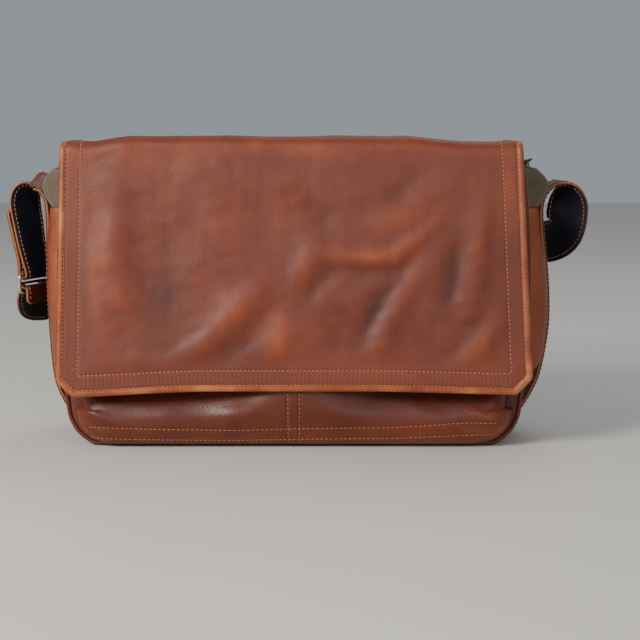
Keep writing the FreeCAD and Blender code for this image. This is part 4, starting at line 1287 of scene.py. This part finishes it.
def strap(name, path, leather_first, body, replaces, tips=(False, False), part=None, seed=0):
    """Leather and lining glued face to face, with raw tan edges and a stitch row along each side.

    part picks a run of the path between two of its points.
    """
    C, A, O = frames([p for p, _ in path], [w for _, w in path], STRAP_STEPS)
    along = Path(C).along
    if part:
        run = slice(part[0] * STRAP_STEPS, part[1] * STRAP_STEPS + 1)
        C, A, O, along = C[run], A[run], O[run], along[run]
    half = np.full(len(C), STRAP_W / 2)
    for tip, d in ((tips[0], along), (tips[1], along[-1] - along)):
        if tip:
            arc = np.sqrt(np.clip(TIP_R ** 2 - np.clip(TIP_R - d, 0, TIP_R) ** 2, 0, None))
            half = np.minimum(half, STRAP_W / 2 - TIP_R + arc)
    sign = -1 if leather_first else 1
    v = np.linspace(-1, 1, 15)
    joint = sign * (STRAP_SPLIT - STRAP_T / 2)
    for label, near, far, material, slot_, nodes in (
            ("leather", joint, sign * STRAP_T / 2, STRAP, "strap_leather", replaces[:1]),
            ("lining", joint, -sign * STRAP_T / 2, DARK, "strap_lining", replaces[1:])):
        s = np.sign(far - near)
        crown = 0.28 * (1 - v ** 4) - 0.3 * bell((np.abs(v) - 0.83) * 19, 0.9)
        outer = [(x * (STRAP_W / 2 - 0.5), far - s * 0.25 + s * c, 0.45) for x, c in zip(v, crown)]
        side = [((STRAP_W / 2 - 0.1), far - s * 0.6, 0.85), (STRAP_W / 2, (near + far) / 2, 1.0),
                (STRAP_W / 2, near, 0.9)]
        section = outer + side + [(-x, h, w) for x, h, w in reversed(side)]
        a = np.array([p[0] for p in section])
        h = np.array([p[1] for p in section])
        w = np.array([p[2] for p in section])
        scale = (half / (STRAP_W / 2))[:, None]
        ripple = 0.12 * noise(along[:, None], a[None] * 1.0, 14, 18, 80, 90 + seed)
        rings = C[:, None] + A[:, None] * (a[None] * scale)[..., None]
        rings = rings + O[:, None] * (h[None] + s * ripple * (w < 0.6))[..., None]
        flat = np.stack(np.broadcast_arrays(a[None], along[:, None], h[None]), -1)
        wear_and_painted_light = np.broadcast_to(w[None], rings.shape[:2]).reshape(-1) * (1.0 if label == "leather" else 0.75)
        if s > 0:
            rings, flat = rings[:, ::-1], flat[:, ::-1]
            wear_and_painted_light = wear_and_painted_light.reshape(len(C), -1)[:, ::-1].reshape(-1)
        place(loops(name + "_" + label, rings, material, flat, wear_and_painted_light), body, slot_, nodes)
    keep = slice(2, len(C) - 2)
    runs = []
    for k in (-0.83, 0.83):
        for h in (1, -1):
            spot = C + A * (k * half)[:, None] + O * (h * (STRAP_T / 2 + 0.02))
            runs.append((spot[keep], O[keep] * h))
    place(thread(name + "_stitches", runs, THREAD, pitch=4.0), body)


SLIDE_AXIS = unit(np.array([0.4, 0.917, 0.0]))
INWARD = np.array([SLIDE_AXIS[1], -SLIDE_AXIS[0], 0.0])
UPPER = np.array([-232.3, -1, 145.5])
LOWER = UPPER - np.array([0, 0, 16.0])
BEND = 3.8
ACROSS = np.array([0, 1.0, 0])


def round_bar(bar, angles):
    """The strap's way round one bar of the slide."""
    turns = [math.radians(a) for a in angles]
    return [(bar + INWARD * BEND * math.cos(a) - np.array([0, 0, BEND * math.sin(a)]),
             SLIDE_AXIS) for a in turns]


left = [(np.array([-x, 0, z]), ACROSS) for x, z in (
    (187.4, 8.8), (199, 24), (209, 43), (213.2, 62), (216, 100), (217.1, 145), (217, 188), (217.6, 205))]
left += [((-218.8, 0, 214), (0.05, 1, 0.08)), ((-222, 0, 222), (0.15, 0.95, 0.2)),
         ((-227, 0, 226.3), (0.27, 0.91, 0.31)),
         ((-232.8, 0, 225.3), (0.4, 0.87, 0.28)), ((-237.2, 0, 219.8), (0.5, 0.84, 0.2)), ((-239.3, 0, 212),
                 (0.54, 0.84, 0.1)),
         ((-239.2, -0.3, 203), (0.54, 0.84, 0)), ((-237, -0.8, 189), (0.52, 0.85, 0)), ((-234.4, -1.4, 172),
                 (0.47, 0.88, 0)),
         ((-231.4, -2, 157), (0.42, 0.9, 0))]
left += round_bar(UPPER, (0, 45, 90, 135, 180))
left += [((-236.3, 0.8, 156), SLIDE_AXIS), ((-238.6, 1, 168), SLIDE_AXIS), ((-242.4, 1.2, 186), SLIDE_AXIS),
         ((-246.2, 1.5, 203), SLIDE_AXIS)]
strap("strap_left", left, True, "bag", ["side_band_left", "side_band_left_lining"], (False, True), seed=1)

whole = [((x, 0, z), ACROSS) for x, z in (
    (187.4, 8.8), (199, 24), (210.5, 43), (217.5, 62), (223.5, 100), (223, 138), (219.4, 172), (217.4,
            192), (217.4, 206),
    (220.5, 215.5), (226.5, 222.5))]
whole += [((234, 0, 225.6), (-0.05, 1, 0)), ((240, 0.5, 223.3), (-0.3, 0.95, 0.02))]
lift_end = len(whole) - 1
whole += [((243, 1.5, 216.5), (-0.6, 0.8, 0.05)), ((243.8, 3, 207.5), (-0.82, 0.57, 0.08)),
          ((243.2, 5, 198.5), (-0.9, 0.42, 0.2)),
          ((243, 8.5, 190), (-0.83, 0.35, 0.45)), ((242.6, 14, 182.5), (-0.6, 0.25, 0.76)), ((240, 23, 176),
                  (-0.28, 0.2, 0.94)),
          ((233.5, 35, 171), (-0.05, 0.1, 0.99)), ((223, 51, 168), (0, 0.05, 1))]
whole += [(p, (0, 0, 1)) for p in (
    (206, 70, 163.5), (180, 89, 152), (146, 103, 128), (112, 120, 94), (82, 136, 57), (54, 147, 32), (26, 150,
            21.5),
    (-12, 151, 19.2), (-48, 149, 20.5), (-78, 143, 28), (-108, 132, 44), (-138, 118, 67), (-167, 101,
            88), (-193, 81, 105),
    (-210, 63, 115))]
tail_start = len(whole) - 1
whole += [((-218.5, 48.5, 117.3), (0.06, 0.12, 0.99)), ((-224.5, 37, 118), (0.16, 0.3, 0.94)),
          ((-228.5, 28.7, 118), (0.25, 0.4, 0.87))]
slide_start = len(whole) - 1
whole += [((-229.7, 26, 118), (0.3, 0.45, 0.84)), ((-235, 14, 119.5), (0.4, 0.75, 0.53)),
          ((-236.7, 6, 123), (0.42, 0.87, 0.25))]
whole += round_bar(LOWER, (180, 225, 270, 315, 360))
whole.append((LOWER + INWARD * BEND - np.array([0, 0, 11.0]), SLIDE_AXIS))
LIFT_BEND = ("bag", "shoulder_strap", (217.4, 0, 200), (238, 0, 213))
strap("strap_right", whole, False, LIFT_BEND, ["side_band_right", "side_band_right_lining"],
      part=(0, lift_end), seed=2)
strap("strap_shoulder", whole, False, "shoulder_strap", ["shoulder_strap", "shoulder_strap_lining"],
      part=(lift_end, tail_start), seed=2)
strap("strap_shoulder_end", whole, False, ("bag", "shoulder_strap", (-228.5, 28.7, 118), (-210.5, 62, 115)),
      [],
      part=(tail_start, slide_start), seed=2)
strap("strap_slide_end", whole, False, ("strap_slide", "bag", (-236, 4, 121), (-229, 28, 118)),
      ["strap_end", "strap_end_lining"],
      (False, True), part=(slide_start, len(whole) - 1), seed=2)


# --- hard parts kept from the frame ---

for node, material in (("strap_slide", NICKEL), ("zip_slider", BRASS), ("zip_pull", BRASS),
                       ("base_board", FIBRE),
                       ("magnet_stud_left", NICKEL), ("magnet_stud_right", NICKEL),
                       ("magnet_socket_left", NICKEL), ("magnet_socket_right", NICKEL)):
    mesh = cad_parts[node].data
    mesh.materials.clear()
    mesh.materials.append(material)


# --- stage, light and camera ---

def floor_material():
    n = Nodes("pale_floor", "object")
    cloud = n.noise(3, 3, 0.5)
    fine = n.noise(260, 3, 0.6)
    base = n.shades(n.plus((cloud, 0.4, 0.5), (fine, 0.2, 0.5), (1.0, 0.5, 0.0)),
                    [(0.2, colour(214, 206, 196)), (0.8, colour(228, 222, 214))])
    return n.finish(base, 0.6, [(fine, 0.00005)])


SIZE = 4000.0
floor = make("floor", [(-SIZE, -SIZE, 0), (SIZE, -SIZE, 0), (SIZE, SIZE, 0), (-SIZE, SIZE, 0)],
             [(0, 1, 2, 3)], floor_material())

world = bpy.data.worlds.new("studio")
world.use_nodes = True
world.node_tree.nodes["Background"].inputs["Color"].default_value = colour(214, 224, 232)
world.node_tree.nodes["Background"].inputs["Strength"].default_value = 0.44
bpy.context.scene.world = world


def lamp(name, spot, aim, size, power, tint):
    light = bpy.data.lights.new(name, "AREA")
    light.shape = "DISK"
    light.size = size
    light.energy = power
    light.color = tint
    obj = bpy.data.objects.new(name, light)
    obj.location = spot
    obj.rotation_mode = "QUATERNION"
    obj.rotation_quaternion = (Vector(aim) - Vector(spot)).to_track_quat("-Z", "Y")
    bpy.context.scene.collection.objects.link(obj)


lamp("key", (-1.3, -1.4, 1.15), (0, 0, 0.12), 0.8, 46, (1, 0.97, 0.93))
lamp("fill", (0.5, -2.2, 1.0), (0, 0, 0.12), 1.4, 10, (1, 0.98, 0.96))
lamp("back", (0.4, 1.1, 1.9), (0, 0, 0.15), 1.2, 7, (0.92, 0.97, 1))

camera = bpy.data.cameras.new("camera")
camera.lens = 94.8
camera.sensor_width = 36
view = bpy.data.objects.new("camera", camera)
view.location = (0.0225, -1.5, 0.285)
view.rotation_euler = (math.radians(90 - 6.94), 0, 0)
bpy.context.scene.collection.objects.link(view)
bpy.context.scene.camera = view

bpy.context.view_layer.update()
